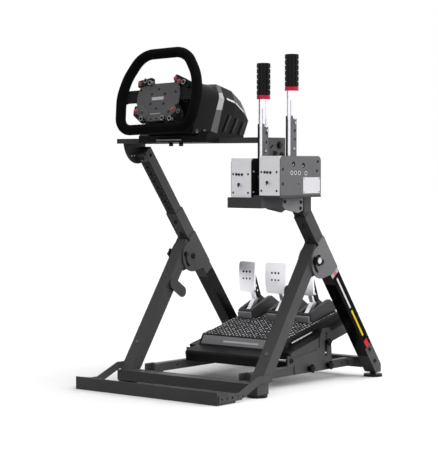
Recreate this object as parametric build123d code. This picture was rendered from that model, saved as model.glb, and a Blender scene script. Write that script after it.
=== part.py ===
from math import cos, pi, radians, sin, tan
import os

from build123d import *

# Overall layout, in mm. X is across the stand, the driver sits at -Y, Z is up.
FRAME_SPACING = 480.0
TUBE_W = 40.0
TUBE_D = 36.0
TUBE_WALL = 2.0
SLIDE_GAP = 0.5
PIN_PLAY = 0.4
SHEET = 3.0
OVER = 1.0

# Rear legs lean towards the driver, front legs lean back to meet them.
REAR_LEAN = 37.2
REAR_OFFSET = 467.0
REAR_TOP = 272.4
FRONT_LEAN = 34.2
FRONT_OFFSET = -12.0
LEG_FLOOR = 14.0
LEG_HEEL = 5.0
LEG_GAP = 6.0

# Fold brackets at the leg crossing, with the lock stud, its knob and a stop lug.
PIVOT_Y = 268.0
PIVOT_Z = 360.0
PIVOT_R = 6.0
PIVOT_EAR_R = 12.0
FOLD_ANGLE = 62.0
PLATE_R = 48.0
PLATE_UP = 54.0
PLATE_DOWN = 62.0
PLATE_CORNER = 8.0
PLATE_LEAN = 37.0
SLOT_R = 33.5
SLOT_W = 10.0
SLOT_START = 170.0
SLOT_SPARE = 2.0
STUD_R = 4.0
STUD_OUT = 4.0
KNOB_R = 17.0
KNOB_T = 20.0
KNOB_LOBES = 5
LOBE_R = 6.0
KNOB_NECK = 6.0
LUG_AT = 77.0
LUG_W = 33.0
LUG_REACH = 44.0
LUG_PAD = 5.0

# Uprights that telescope out of the rear legs.
INNER_TOP = 500.0
INNER_INSERT = 170.0
BORE_SPARE = 8.0
INDEX_R = 4.5
INDEX_PITCH = 26.0
INDEX_DEEP = 5.0
DECK_PIVOT_S = 480.0
DECK_PIN_R = 5.0

# Feet, front cross tube and front foot bar with its cranked arms.
FOOT_R = 28.0
FOOT_H = 8.0
FOOT_STEM_R = 9.0
FOOT_AHEAD = 8.0
CROSS_Y0 = -24.0
CROSS_D = 50.0
CROSS_Z1 = 38.0
BRACKET_GAP = 5.0
BRACKET_T = 4.0
BRACKET_PAST = 16.0
BRACKET_LOW = 12.0
BRACKET_FLOOR_T = 5.0
BAR_FRONT = -197.0
BAR_D = 78.0
BAR_H = 36.0
BAR_END_H = 24.0
ARM_T = 4.0
ARM_W = 20.0
ARM_LOW = 16.0
ARM_HIGH = 50.0
ARM_BEND_LOW = -103.0
ARM_BEND_HIGH = -18.0
ARM_BACK = 38.0
ARM_MITRE = 3.5
ARM_HOLES = 5
ARM_HOLE_R = 3.5
ARM_HOLE_AT = 16.0
ARM_HOLE_PITCH = 22.0

# Rails that carry the pedal tray, hinged at the rear cross tube.
RAIL_X = 176.0
RAIL_W = 22.0
RAIL_Z0 = 32.0
RAIL_H = 24.0
RAIL_FRONT = 46.0
RAIL_PIN_Y = 518.0
RAIL_PIN_R = 5.0
RAIL_HOLE_R = 3.5
RAIL_HOLE_FRONT = 90.0
RAIL_HOLE_BACK = 40.0
RAIL_LUG_R = 11.0
RAIL_LUG_T = 5.0
RAIL_BAR_Y = 330.0
RAIL_BAR_D = 30.0
RAIL_BAR_IN = 2.0
REAR_BAR_Y0 = 536.0
REAR_BAR_D = 30.0
REAR_BAR_Z0 = 28.0
REAR_BAR_H = 30.0

# Side plates beside the tray: a low lug at the front bolt, a tall slotted part at the back.
SIDE_FRONT = 17.0
SIDE_LUG = 15.0
SIDE_LOW_IN = 2.0
SIDE_STEP_LOW = 21.5
SIDE_STEP_HIGH = 50.0
SIDE_STEP_AT = 8.0
SIDE_HIGH = 122.0
SIDE_W = 48.0
SIDE_CUT = 7.0
CLAMP_SLOT_R = 6.0
CLAMP_SLOT_LOW = 3.0
CLAMP_SLOT_HIGH = 62.0
PLATE_SLOT_Y = 395.0

# Pedal tray and pedal set, in a frame tilted about the X axis.
PEDAL_TILT = 13.5
PEDAL_Y = 220.0
PEDAL_Z = 98.0
TRAY_PIVOT_Y = 223.0
TRAY_PIVOT_Z = 75.0
TRAY_PIN_R = 5.0
TRAY_PIN_L = 12.0
TRAY_BOSS_R = 13.0
TRAY_FRONT = 50.0
TRAY_LIP = 30.0
TRAY_LIP_R = 9.0
TRAY_BACK = 6.0
TRAY_T = 4.0
TRAY_FLANGE = 34.0
PEDAL_W = 306.0
PEDAL_L = 328.0
PEDAL_H = 27.0
PEDAL_SLOPE = 24.0
PEDAL_STEP_W = 5.0
PEDAL_STEP_RUN = 12.0
PEDAL_BACK_L = 20.0
PEDAL_BACK_H = 8.0
PEDAL_PITCH = 110.0

# Housings: wedges with a pocket for the arm.
MODULE_Y = 186.0
MODULE_W = 54.0
MODULE_H = 28.0
MODULE_RIDGE = 40.0
MODULE_TOE_L = 10.0
MODULE_TOE_H = 5.0
MODULE_END_H = 6.0
RIDGE_BACK = 36.0
RIDGE_L = 10.0
POCKET_GAP = 5.0
POCKET_FRONT = 8.0
POCKET_FLOOR = 4.0
POCKET_BACK = 14.0
PIN_AT = 19.0
PIN_UP = 16.0
PEDAL_PIN_R = 4.0
PIN_END = 2.0

# Pedal faces, cranked arms and the drilled cheek plates beside them.
FACE_Y = 396.0
FACE_LOW = 247.0
FACE_H = 93.0
FACE_T = 7.0
FACE_CURVE = 260.0
FACE_ROUND = 8.0
FACE_NARROW = 2.5
FACE_HOLE_R = 2.8
FACE_HOLE_PITCH = 12.5
FACE_ROW_LOW = -5.0
FACE_ROW_HIGH = 16.0
CLUTCH_W = 62.0
BRAKE_W = 79.0
THROTTLE_W = 62.0
THROTTLE_H = 121.0
ARM_W_X = 14.0
ARM_EYE_R = 9.0
ARM_LOW_R = 7.0
ARM_HIGH_R = 6.0
ELBOW_BACK = 29.0
ELBOW_UP = 35.0
ARM_IN = 3.0
ARM_RISE = 112.0
CHEEK_T = 3.0
CHEEK_R = 8.5
CHEEK_LOW_BACK = 8.0
CHEEK_LOW_UP = 12.0
CHEEK_TOP_OUT = 10.0
CHEEK_HOLES = 4
CHEEK_HOLE_R = 4.0
CHEEK_BOLT_LOW = 4.0
CHEEK_BOLT_TOP = 3.0

# Wheel deck.
DECK_Y0 = -22.0
DECK_D = 121.0
DECK_RISE = 47.3
DECK_EDGE = 14.0
FLANGE_W = 60.0
FLANGE_H = 70.0
FLANGE_BACK = 17.0
FLANGE_SINK = 2.0

# Wheel base: clamp foot, round front shell, slanted band and a faceted rear shell.
BASE_FRONT_AT = 60.0
BASE_L = 233.0
BASE_BODY_W = 196.0
BASE_TOP = 72.0
BASE_BACK_TOP = 78.0
BASE_END_TOP = 48.0
BASE_ROUND = 48.0
BASE_NOSE = 14.0
FACET_IN = 24.0
FACET_DOWN = 40.0
BASE_NARROW = 8.0
BASE_FOOT_W = 250.0
BASE_FOOT_T = 10.0
BASE_FOOT_BACK = 20.0
CLAMP_D = 52.0
CLAMP_DROP = 13.0
CLAMP_GAP = 4.0
CLAMP_CROWN = 8.0
CLAMP_CROWN_AT = 18.0
BAND_LOW_FRONT = -40.0
BAND_LOW_BACK = -9.0
BAND_HIGH_FRONT = 40.0
BAND_HIGH_BACK = 59.0
BAND_DOWN = 12.0
BAND_UP = 188.0
VENTS = 3
VENT_Y = 22.0
VENT_UP = 18.0
VENT_PITCH = 35.0
VENT_L = 52.0
VENT_SHORTER = 5.0
VENT_LOWER = 4.0
VENT_DEEP = 4.0
VENT_R = 3.0
VENT_LEAN = 32.0

# Steering wheel: a padded six-cornered rim round the axis, spokes, hub plate and button box.
WHEEL_Y = -134.8
WHEEL_RISE = 110.0
WHEEL_TILT = 14.0
WHEEL_ROLL = 2.0
RIM_HALF_W = 153.0
RIM_HIGH = 145.0
RIM_LOW = 103.0
RIM_TOP_W = 88.0
RIM_LOW_W = 126.0
RIM_WIDEST = 12.0
RIM_TOP_ROUND = 45.0
RIM_SIDE_ROUND = 70.0
RIM_LOW_ROUND = 42.0
RIM_GRIP = 29.0
RIM_GAP = 0.3
SPOKE_BACK = 5.0
SPOKE_T = 5.0
SPOKE_UP = 8.5
SPOKE_W = 36.0
SPOKE_FLARE = 7.0
SPOKE_FLARE_L = 24.0
PLATE_T = 5.0
HUB_PLATE_R = 76.0
HUB_PLATE_TOP = 40.0
HUB_PLATE_LOW = 54.0
HUB_PLATE_ROUND = 10.0
DISC_IN = 8.0
POD_R = 17.0
POD_T = 22.0
POD_UP_U = 60.0
POD_UP_V = 43.0
POD_LOW_U = 56.0
POD_LOW_V = -48.0
BOX_SHARE = 0.8
HUB_R = 36.0
HUB_L = 36.0
SHAFT_R = 20.0
SHAFT_IN = 32.0
SHAFT_ROOM = 0.6

# Lever units on their side tray.
TRAY_GAP = 5.5
TRAY_Y0 = -158.0
TRAY_Y1 = 25.0
TRAY_PAST = 14.0
TRAY_BELOW_DECK = 160.0
LEVER_LIP = 28.0
TONGUE_W = 30.0
GUSSET_D = 92.0
GUSSET_GAP = 60.0
GUSSET_FRONT = 24.0
GUSSET_MID = 33.0
GUSSET_DEEP = 44.0
GUSSET_END = 36.0
GUSSET_RUN = 10.0
GUSSET_TAIL = 20.0
POST_S = 312.0
POST_T = 12.0
POST_FRONT = 14.0
POST_BACK = 18.0
POST_DROP = 26.0
POST_BOSS_R = 11.0
POST_BOSS_L = 6.0
ADAPTER_T = 6.0
ADAPTER_GAP = 5.0
UNIT_W = 70.0
UNIT_L = 180.0
UNIT_H = 102.0
UNIT_Y0 = -150.0
UNIT_IN = 5.0
UNIT_PITCH = 94.0
UNIT_FACE_T = 7.0
UNIT_FACE_UP = 1.0
UNIT_FACE_ROUND = 3.5
UNIT_ROUND = 18.0
UNIT_SIDE_IN = 2.0
SLOT_SIDE = 6.0
SLOT_FLOOR = 22.0
SWING_FRONT = 46.0
SWING_BACK = 26.0
LEVER_AT = 96.0
LEVER_PIN_UP = 48.0
LEVER_PIN_R = 5.0
LEVER_PIN_END = 4.0
LEVER_HALF = 8.0
LEVER_BAR_R = 9.0
LEVER_BAR_PAST = 12.0
LEVER_TUBE_R = 13.0
LEVER_TUBE_L = 84.0
LEVER_HOLE_R = 4.5
LEVER_HOLE_AT = 26.0
LEVER_HOLE_PITCH = 24.0
LEVER_HOLE_END = 10.0
COLLAR_H = 10.0
COLLAR_IN = 2.0
LEVER_TOP_IN = 357.0
LEVER_TOP_OUT = 371.0
GRIP_R = 19.0
GRIP_L = 86.0
GRIP_ROUND = 6.0
GRIP_GROOVES = 5
GROOVE_W = 2.0
GROOVE_DEEP = 1.2

half = FRAME_SPACING / 2
tube_h = TUBE_W / 2
inner_face = half + tube_h - TUBE_WALL - SLIDE_GAP
nodes = {}


def yz(x):
    return Plane(origin=(x, 0, 0), x_dir=(0, 1, 0), z_dir=(1, 0, 0))


def xz(y):
    return Plane(origin=(0, y, 0), x_dir=(1, 0, 0), z_dir=(0, -1, 0))


def prism(points, x0, x1):
    """Outline of the side view, carried across from one x to another."""
    low, high = min(x0, x1), max(x0, x1)
    return extrude(yz(low) * Polygon(*points, align=None), high - low, dir=(1, 0, 0))


def rod(y, z, r, x0, x1):
    low, high = min(x0, x1), max(x0, x1)
    return extrude(yz(low) * Pos(y, z) * Circle(r), high - low, dir=(1, 0, 0))


def block(x0, x1, y0, y1, z0, z1):
    size = Box(abs(x1 - x0), abs(y1 - y0), abs(z1 - z0))
    return Pos((x0 + x1) / 2, (y0 + y1) / 2, (z0 + z1) / 2) * size


def link(p, q, r, x0, x1):
    """Flat bar with round ends between two points of the side view."""
    dy, dz = q[0] - p[0], q[1] - p[1]
    size = (dy * dy + dz * dz) ** 0.5
    ny, nz = -dz / size * r, dy / size * r
    sides = [(p[0] + ny, p[1] + nz), (q[0] + ny, q[1] + nz), (q[0] - ny, q[1] - nz), (p[0] - ny, p[1] - nz)]
    return prism(sides, x0, x1) + rod(*p, r, x0, x1) + rod(*q, r, x0, x1)


def both(name, make):
    """The same piece on the right and, mirrored, on the left."""
    right = make()
    nodes[name + "_right"] = right
    nodes[name + "_left"] = mirror(right, about=Plane.YZ)


def rear(s, n):
    """Point of the side view, s mm up the rear leg and n mm out from its datum line."""
    a = radians(REAR_LEAN)
    return (-s * sin(a) + n * cos(a), s * cos(a) + n * sin(a))


def rear_at_z(z, n):
    a = radians(REAR_LEAN)
    return ((n - z * sin(a)) / cos(a), z)


def front_at_z(z, n):
    a = radians(FRONT_LEAN)
    return ((n + z * sin(a)) / cos(a), z)


# Rear legs: square tubes, cut flat above the feet and upright at the back.
n_front = REAR_OFFSET - TUBE_D / 2
n_back = REAR_OFFSET + TUBE_D / 2
leg_back_y = rear_at_z(LEG_FLOOR, REAR_OFFSET)[0] + LEG_HEEL
leg_back_z = (n_back - leg_back_y * cos(radians(REAR_LEAN))) / sin(radians(REAR_LEAN))


def make_rear_leg():
    outline = [rear_at_z(LEG_FLOOR, n_front), (leg_back_y, LEG_FLOOR), (leg_back_y, leg_back_z),
               rear(REAR_TOP, n_back), rear(REAR_TOP, n_front)]
    leg = prism(outline, half - tube_h, half + tube_h)
    w = TUBE_WALL
    low, high = REAR_TOP - INNER_INSERT - BORE_SPARE, REAR_TOP + OVER
    bore = [rear(low, n_front + w), rear(low, n_back - w), rear(high, n_back - w), rear(high, n_front + w)]
    return leg - prism(bore, half - tube_h + w, half + tube_h - w)


both("rear_leg", make_rear_leg)

# Fold brackets: two slotted plates on each rear leg with the fold pin between them.
pivot = (PIVOT_Y, PIVOT_Z)
pivot_s = -PIVOT_Y * sin(radians(REAR_LEAN)) + PIVOT_Z * cos(radians(REAR_LEAN))
slot_start = radians(SLOT_START)
stud = (PIVOT_Y + SLOT_R * cos(slot_start), PIVOT_Z + SLOT_R * sin(slot_start))


def fold_plate(x0):
    x1 = x0 + ARM_T
    upper, lower = pivot_s + PLATE_UP, pivot_s - PLATE_DOWN
    back = n_back - OVER
    strip = [rear(lower, n_front), rear(lower, back), rear(upper, back), rear(upper, n_front)]
    lean = radians(PLATE_LEAN)
    shoulder = (PIVOT_Y - PLATE_R * cos(lean), PIVOT_Z + PLATE_R * sin(lean))
    cheek = [rear(lower, n_front + OVER), rear(upper - PLATE_CORNER, n_front + OVER), shoulder,
             (PIVOT_Y, PIVOT_Z - PLATE_R)]
    plate = prism(strip, x0, x1) + rod(*pivot, PLATE_R, x0, x1) + prism(cheek, x0, x1)
    track = CenterArc((0, 0), SLOT_R, SLOT_START - SLOT_SPARE, FOLD_ANGLE + 2 * SLOT_SPARE)
    slot = Pos(*pivot) * SlotArc(track, SLOT_W)
    return plate - extrude(yz(x0 - OVER) * slot, ARM_T + 2 * OVER, dir=(1, 0, 0))


def make_fold_bracket():
    pin = rod(*pivot, PIVOT_R, half - tube_h - ARM_T, half + tube_h + ARM_T)
    return fold_plate(half + tube_h) + pin + fold_plate(half - tube_h - ARM_T)


both("fold_bracket", make_fold_bracket)

# Rear cross tube with a pair of lugs and a hinge pin for each rail.
rail_mid_z = RAIL_Z0 + RAIL_H / 2
rear_bar = block(-half + tube_h, half - tube_h, REAR_BAR_Y0, REAR_BAR_Y0 + REAR_BAR_D,
                 REAR_BAR_Z0, REAR_BAR_Z0 + REAR_BAR_H)
for sx in (-1, 1):
    for edge in (-1, 1):
        xa = sx * RAIL_X + edge * (RAIL_W / 2 + SLIDE_GAP)
        xb = xa + edge * RAIL_LUG_T
        rear_bar += block(xa, xb, RAIL_PIN_Y, REAR_BAR_Y0, rail_mid_z - RAIL_LUG_R, rail_mid_z + RAIL_LUG_R)
        rear_bar += rod(RAIL_PIN_Y, rail_mid_z, RAIL_LUG_R, xa, xb)
    reach = RAIL_W / 2 + RAIL_LUG_T
    rear_bar += rod(RAIL_PIN_Y, rail_mid_z, RAIL_PIN_R, sx * RAIL_X - reach, sx * RAIL_X + reach)
nodes["rear_cross_tube"] = rear_bar


def make_rear_foot():
    y = rear_at_z(LEG_FLOOR, REAR_OFFSET)[0] - FOOT_AHEAD
    disc = Pos(half, y, FOOT_H / 2) * Cylinder(FOOT_R, FOOT_H)
    return disc + Pos(half, y, (FOOT_H + LEG_FLOOR) / 2) * Cylinder(FOOT_STEM_R, LEG_FLOOR - FOOT_H)


both("rear_foot", make_rear_foot)

# Front legs, welded on the front cross tube, with an ear round the fold pin.
front_half = tube_h - PIN_PLAY
front_end = half + front_half
n_lead = FRONT_OFFSET - TUBE_D / 2
n_trail = FRONT_OFFSET + TUBE_D / 2


def front_top(n, gap):
    """Where the front leg's edge meets a line kept clear of the rear leg."""
    a, b = radians(REAR_LEAN), radians(FRONT_LEAN)
    z = (n_front - gap - cos(a) * n / cos(b)) / (cos(a) * tan(b) + sin(a))
    return front_at_z(z, n)


def make_front_leg():
    """Leg tube with an ear at the pin, a lock stud through the slots and a stop lug inside."""
    x0, x1 = half - front_half, front_end
    outline = [front_at_z(CROSS_Z1, n_lead), front_at_z(CROSS_Z1, n_trail), front_top(n_trail, LEG_GAP),
               front_top(n_lead, LEG_GAP)]
    leg = prism(outline, x0, x1)
    leg += link(stud, pivot, PIVOT_EAR_R, x0, x1)
    leg -= rod(*pivot, PIVOT_R + PIN_PLAY, x0 - OVER, x1 + OVER)
    leg += rod(*stud, STUD_R, x0 - ARM_T - STUD_OUT, x1 + ARM_T + STUD_OUT)
    b = radians(FRONT_LEAN)
    root = front_at_z(PIVOT_Z - LUG_AT * cos(b) - LUG_W / 2, FRONT_OFFSET)
    reach = TUBE_D / 2 + LUG_REACH - LUG_W / 2
    tip = (root[0] + reach * cos(b), root[1] - reach * sin(b))
    leg += rod(*root, LUG_W / 3, x0 - LUG_PAD, x0)
    return leg + link(root, tip, LUG_W / 2, x0 - LUG_PAD - ARM_T, x0 - LUG_PAD)


both("front_leg", make_front_leg)


def make_fold_knob():
    """Lobed knob on the lock stud, outside the bracket."""
    x0 = half + tube_h + ARM_T + SLIDE_GAP
    x1 = x0 + KNOB_T
    ring = KNOB_R - LOBE_R
    knob = rod(*stud, KNOB_R - STUD_OUT, x0, x1)
    for i in range(KNOB_LOBES):
        a = 2 * pi * i / KNOB_LOBES
        knob += rod(stud[0] + ring * cos(a), stud[1] + ring * sin(a), LOBE_R, x0 + KNOB_NECK, x1)
    return knob - rod(*stud, STUD_R, x0 - OVER, front_end + ARM_T + STUD_OUT)


both("fold_knob", make_fold_knob)

# Front cross tube with an open bracket that takes each rail's front end.
cross_back = CROSS_Y0 + CROSS_D
cross = block(-front_end, front_end, CROSS_Y0, cross_back, FOOT_H, CROSS_Z1)
bracket_end = RAIL_FRONT + BRACKET_PAST
bracket_z = RAIL_Z0 - BRACKET_LOW
for sx in (-1, 1):
    inside = RAIL_W / 2 + BRACKET_GAP
    outside = inside + BRACKET_T
    mid = sx * RAIL_X
    floor_z = bracket_z + BRACKET_FLOOR_T
    cross += block(mid - outside, mid + outside, cross_back, bracket_end, bracket_z, floor_z)
    for edge in (-1, 1):
        cross += block(mid + edge * inside, mid + edge * outside, cross_back - OVER, bracket_end, bracket_z,
                       RAIL_Z0 + RAIL_H)
nodes["front_cross_tube"] = cross


def make_front_foot():
    return Pos(half, CROSS_Y0 + CROSS_D / 2, FOOT_H / 2) * Cylinder(FOOT_R, FOOT_H)


both("front_foot", make_front_foot)

# Front foot bar: an angle with end plates, held by cranked flat arms.
bar_back = BAR_FRONT + BAR_D
bar = block(-front_end, front_end, BAR_FRONT, BAR_FRONT + SHEET, 0, BAR_H)
bar += block(-front_end, front_end, BAR_FRONT, bar_back, 0, SHEET)
for sx in (-1, 1):
    end = [(BAR_FRONT, 0), (bar_back, 0), (bar_back, BAR_END_H), (BAR_FRONT, BAR_H)]
    bar += prism(end, sx * front_end, sx * (front_end - SHEET))
nodes["foot_bar"] = bar


def make_foot_arm():
    w, m = ARM_W / 2, ARM_MITRE
    tip = BAR_FRONT + ARM_T
    outline = [(tip, ARM_LOW - w), (ARM_BEND_LOW + m, ARM_LOW - w), (ARM_BEND_HIGH + m, ARM_HIGH - w),
               (ARM_BACK, ARM_HIGH - w), (ARM_BACK, ARM_HIGH + w), (ARM_BEND_HIGH - m, ARM_HIGH + w),
               (ARM_BEND_LOW - m, ARM_LOW + w), (tip, ARM_LOW + w)]
    arm = prism(outline, front_end, front_end + ARM_T)
    for i in range(ARM_HOLES):
        y = BAR_FRONT + ARM_HOLE_AT + ARM_HOLE_PITCH * i
        arm -= rod(y, ARM_LOW, ARM_HOLE_R, front_end - OVER, front_end + ARM_T + OVER)
    return arm


both("foot_arm", make_foot_arm)


def make_rail():
    """Pedal rail, hinged at the rear cross tube."""
    x0, x1 = RAIL_X - RAIL_W / 2, RAIL_X + RAIL_W / 2
    rail = block(x0, x1, RAIL_FRONT, RAIL_PIN_Y, RAIL_Z0, RAIL_Z0 + RAIL_H)
    rail += rod(RAIL_PIN_Y, rail_mid_z, RAIL_H / 2, x0, x1)
    rail -= rod(RAIL_PIN_Y, rail_mid_z, RAIL_PIN_R + PIN_PLAY, x0 - OVER, x1 + OVER)
    for y in (RAIL_FRONT + RAIL_HOLE_FRONT, RAIL_PIN_Y - RAIL_HOLE_BACK):
        rail -= rod(y, rail_mid_z, RAIL_HOLE_R, x0 - OVER, x1 + OVER)
    return rail


both("pedal_rail", make_rail)
rail_in = RAIL_X - RAIL_W / 2
nodes["rail_cross_bar"] = block(-rail_in, rail_in, RAIL_BAR_Y, RAIL_BAR_Y + RAIL_BAR_D, RAIL_Z0 + RAIL_BAR_IN,
                                RAIL_Z0 + RAIL_H - RAIL_BAR_IN)


def make_side_plate():
    """Upright plate beside the rail: lug at the front bolt, low middle, tall slotted end."""
    x0 = RAIL_X + RAIL_W / 2
    x1 = x0 + SHEET
    low, z = RAIL_Z0 + SIDE_LOW_IN, TRAY_PIVOT_Z
    high = low + SIDE_HIGH
    y0, y1 = TRAY_PIVOT_Y - SIDE_FRONT, TRAY_PIVOT_Y + SIDE_FRONT
    ya, yb = PLATE_SLOT_Y - SIDE_W / 2, PLATE_SLOT_Y + SIDE_W / 2
    outline = [(y0, z - SIDE_LUG), (y0, z + SIDE_LUG), (y1, z + SIDE_CUT),
               (ya - SIDE_STEP_AT, z + SIDE_STEP_LOW), (ya - SIDE_CUT, z + SIDE_STEP_HIGH),
               (ya + SIDE_CUT, high), (yb - SIDE_CUT, high),
               (yb, high - SIDE_CUT), (yb + SIDE_CUT, low), (y1, low), (y1, z - SIDE_LUG)]
    plate = prism(outline, x0, x1)
    plate -= link((PLATE_SLOT_Y, z + CLAMP_SLOT_LOW), (PLATE_SLOT_Y, z + CLAMP_SLOT_HIGH), CLAMP_SLOT_R,
                  x0 - OVER, x1 + OVER)
    return plate + rod(TRAY_PIVOT_Y, TRAY_PIVOT_Z, TRAY_PIN_R, x0 - TRAY_PIN_L, x1)


both("tray_side_plate", make_side_plate)


def tilted(y, z):
    """Point of the side view, y mm along and z mm above the tilted tray."""
    a = radians(PEDAL_TILT)
    return (PEDAL_Y + y * cos(a) - z * sin(a), PEDAL_Z + y * sin(a) + z * cos(a))


def tilted_prism(points, x0, x1):
    return prism([tilted(*p) for p in points], x0, x1)


def tilted_block(x0, x1, y0, y1, z0, z1):
    return tilted_prism([(y0, z0), (y1, z0), (y1, z1), (y0, z1)], x0, x1)


def tilted_rod(y, z, r, x0, x1):
    return rod(*tilted(y, z), r, x0, x1)


# Pedal tray: a folded plate with a deep, rounded front lip and side flanges inside the plates.
tray_w = RAIL_X + RAIL_W / 2 - SLIDE_GAP
tray_in = tray_w - RAIL_W - BRACKET_GAP
tray_end = PEDAL_L + TRAY_BACK
lip_y = -TRAY_FRONT - TRAY_LIP_R
tray = tilted_block(-tray_in, tray_in, -TRAY_FRONT, tray_end, -TRAY_T, 0)
tray += tilted_block(-tray_w, tray_w, -TRAY_T, tray_end, -TRAY_T, 0)
tray += tilted_rod(-TRAY_FRONT, -TRAY_LIP_R, TRAY_LIP_R, -tray_in, tray_in)
tray += tilted_block(-tray_in, tray_in, lip_y, lip_y + TRAY_T, -TRAY_LIP, -TRAY_LIP_R)
for sx in (-1, 1):
    xa, xb = sx * tray_w, sx * (tray_w - SHEET)
    tray += tilted_block(xa, xb, -TRAY_T, tray_end, -TRAY_FLANGE, 0)
    tray += rod(TRAY_PIVOT_Y, TRAY_PIVOT_Z, TRAY_BOSS_R, xa, xb)
    tray -= rod(TRAY_PIVOT_Y, TRAY_PIVOT_Z, TRAY_PIN_R + PIN_PLAY, sx * (tray_w + OVER), xb - sx * OVER)
nodes["pedal_tray"] = tray

# Pedal base with a sloped front panel and stepped sides.
pedal_half = PEDAL_W / 2
base_side = [(0, 0), (PEDAL_L, 0), (PEDAL_L, PEDAL_H - PEDAL_BACK_H), (PEDAL_L - PEDAL_BACK_L, PEDAL_H),
             (PEDAL_SLOPE, PEDAL_H)]
pedal_base = tilted_prism(base_side, -pedal_half, pedal_half)
step_y, step_end = 2 * PEDAL_SLOPE, PEDAL_L + OVER
step = [(step_y, PEDAL_H / 2), (step_end, PEDAL_H / 2), (step_end, PEDAL_H + OVER),
        (step_y + PEDAL_STEP_RUN, PEDAL_H + OVER)]
for sx in (-1, 1):
    pedal_base -= tilted_prism(step, sx * pedal_half, sx * (pedal_half - PEDAL_STEP_W))
nodes["pedal_base"] = pedal_base

pin_y, pin_z = MODULE_Y + PIN_AT, PEDAL_H + PIN_UP
pin = tilted(pin_y, pin_z)
arm_half = ARM_W_X / 2
side_half = arm_half + CHEEK_T
elbow = (pin[0] + ELBOW_BACK, pin[1] + ELBOW_UP)
arm_top = (FACE_Y + FACE_T + ARM_IN, pin[1] + ARM_RISE)
cheek_low = (elbow[0] + CHEEK_LOW_BACK, elbow[1] + CHEEK_LOW_UP)
cheek_top = (arm_top[0] + CHEEK_TOP_OUT, arm_top[1] + CHEEK_TOP_OUT)


def make_module(x):
    """Wedge housing with a pocket for the arm and the pedal's pin across it."""
    w = MODULE_W / 2
    top, ridge = PEDAL_H + MODULE_H, PEDAL_H + MODULE_RIDGE
    outline = [(MODULE_Y, PEDAL_H), (PEDAL_L, PEDAL_H), (PEDAL_L, PEDAL_H + MODULE_END_H),
               (PEDAL_L - RIDGE_BACK, ridge), (PEDAL_L - RIDGE_BACK - RIDGE_L, ridge),
               (MODULE_Y + MODULE_TOE_L, top), (MODULE_Y, top - MODULE_TOE_H)]
    body = tilted_prism(outline, x - w, x + w)
    room = side_half + POCKET_GAP
    body -= tilted_block(x - room, x + room, MODULE_Y + POCKET_FRONT, PEDAL_L - POCKET_BACK,
                         PEDAL_H + POCKET_FLOOR, ridge + MODULE_H)
    return body + tilted_rod(pin_y, pin_z, PEDAL_PIN_R, x - w + PIN_END, x + w - PIN_END)


def make_foot_face(x, width, height):
    """Convex plate with round corners, narrower at the foot, with two rows of holes."""
    mid = FACE_LOW + height / 2
    bend = FACE_Y + FACE_CURVE
    plate = rod(bend, mid, FACE_CURVE, x - width, x + width)
    plate -= rod(bend, mid, FACE_CURVE - FACE_T, x - width - OVER, x + width + OVER)
    w, foot, top = width / 2, width / 2 - FACE_NARROW, FACE_LOW + height
    corners = Polygon((x - foot, FACE_LOW), (x + foot, FACE_LOW), (x + w, top), (x - w, top), align=None)
    outline = fillet(corners.vertices(), FACE_ROUND)
    plate &= extrude(xz(FACE_Y - OVER) * outline, 3 * FACE_T, dir=(0, 1, 0))
    for row in (FACE_ROW_LOW, FACE_ROW_HIGH):
        for column in (-1, 0, 1):
            hole = Pos(x + column * FACE_HOLE_PITCH, mid + row) * Circle(FACE_HOLE_R)
            plate -= extrude(xz(FACE_Y - OVER) * hole, 2 * FACE_T, dir=(0, 1, 0))
    return plate


def make_pedal(x, width, height):
    """Face plate on a cranked arm that turns on the housing's pin."""
    x0, x1 = x - arm_half, x + arm_half
    arm = link(pin, elbow, ARM_LOW_R, x0, x1) + rod(*pin, ARM_EYE_R, x0, x1)
    arm += link(elbow, arm_top, ARM_HIGH_R, x0, x1)
    arm -= rod(*pin, PEDAL_PIN_R + PIN_PLAY, x0 - OVER, x1 + OVER)
    return arm + make_foot_face(x, width, height)


def make_arm_plates(x):
    """Drilled cheek plates on both sides of the arm, joined by two bolts behind it."""
    plates = rod(*cheek_low, CHEEK_BOLT_LOW, x - side_half, x + side_half)
    plates += rod(*cheek_top, CHEEK_BOLT_TOP, x - side_half, x + side_half)
    for x0 in (x - side_half, x + arm_half):
        plates += link(cheek_low, cheek_top, CHEEK_R, x0, x0 + CHEEK_T)
        for i in range(1, CHEEK_HOLES + 1):
            t = i / (CHEEK_HOLES + 1)
            y = cheek_low[0] + (cheek_top[0] - cheek_low[0]) * t
            z = cheek_low[1] + (cheek_top[1] - cheek_low[1]) * t
            plates -= rod(y, z, CHEEK_HOLE_R, x0 - PIN_PLAY, x0 + CHEEK_T + PIN_PLAY)
    return plates


for name, x, width, height in (("clutch", -PEDAL_PITCH, CLUTCH_W, FACE_H), ("brake", 0.0, BRAKE_W, FACE_H),
                               ("throttle", PEDAL_PITCH, THROTTLE_W, THROTTLE_H)):
    pedal = make_pedal(x, width, height)
    nodes[name + "_housing"] = make_module(x)
    nodes[name + "_pedal"] = pedal
    nodes[name + "_arm"] = make_arm_plates(x) - pedal


def make_inner_tube():
    """Upright that slides in the rear leg, with a row of index holes down the front face."""
    w = inner_face - half
    d = TUBE_D / 2 - TUBE_WALL - SLIDE_GAP
    low, high = REAR_TOP - INNER_INSERT, INNER_TOP
    a, b = REAR_OFFSET - d, REAR_OFFSET + d
    tube = prism([rear(low, a), rear(low, b), rear(high, b), rear(high, a)], half - w, half + w)
    tube -= rod(*rear(DECK_PIVOT_S, REAR_OFFSET), DECK_PIN_R + PIN_PLAY, half - w - OVER, half + w + OVER)
    lean = radians(REAR_LEAN)
    s = high - 2 * INDEX_PITCH
    while s > low + INDEX_PITCH:
        face = Plane(origin=(half, *rear(s, a)), x_dir=(1, 0, 0), z_dir=(0, cos(lean), sin(lean)))
        tube -= extrude(face * Circle(INDEX_R), INDEX_DEEP, dir=face.z_dir)
        s -= INDEX_PITCH
    return tube


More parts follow.
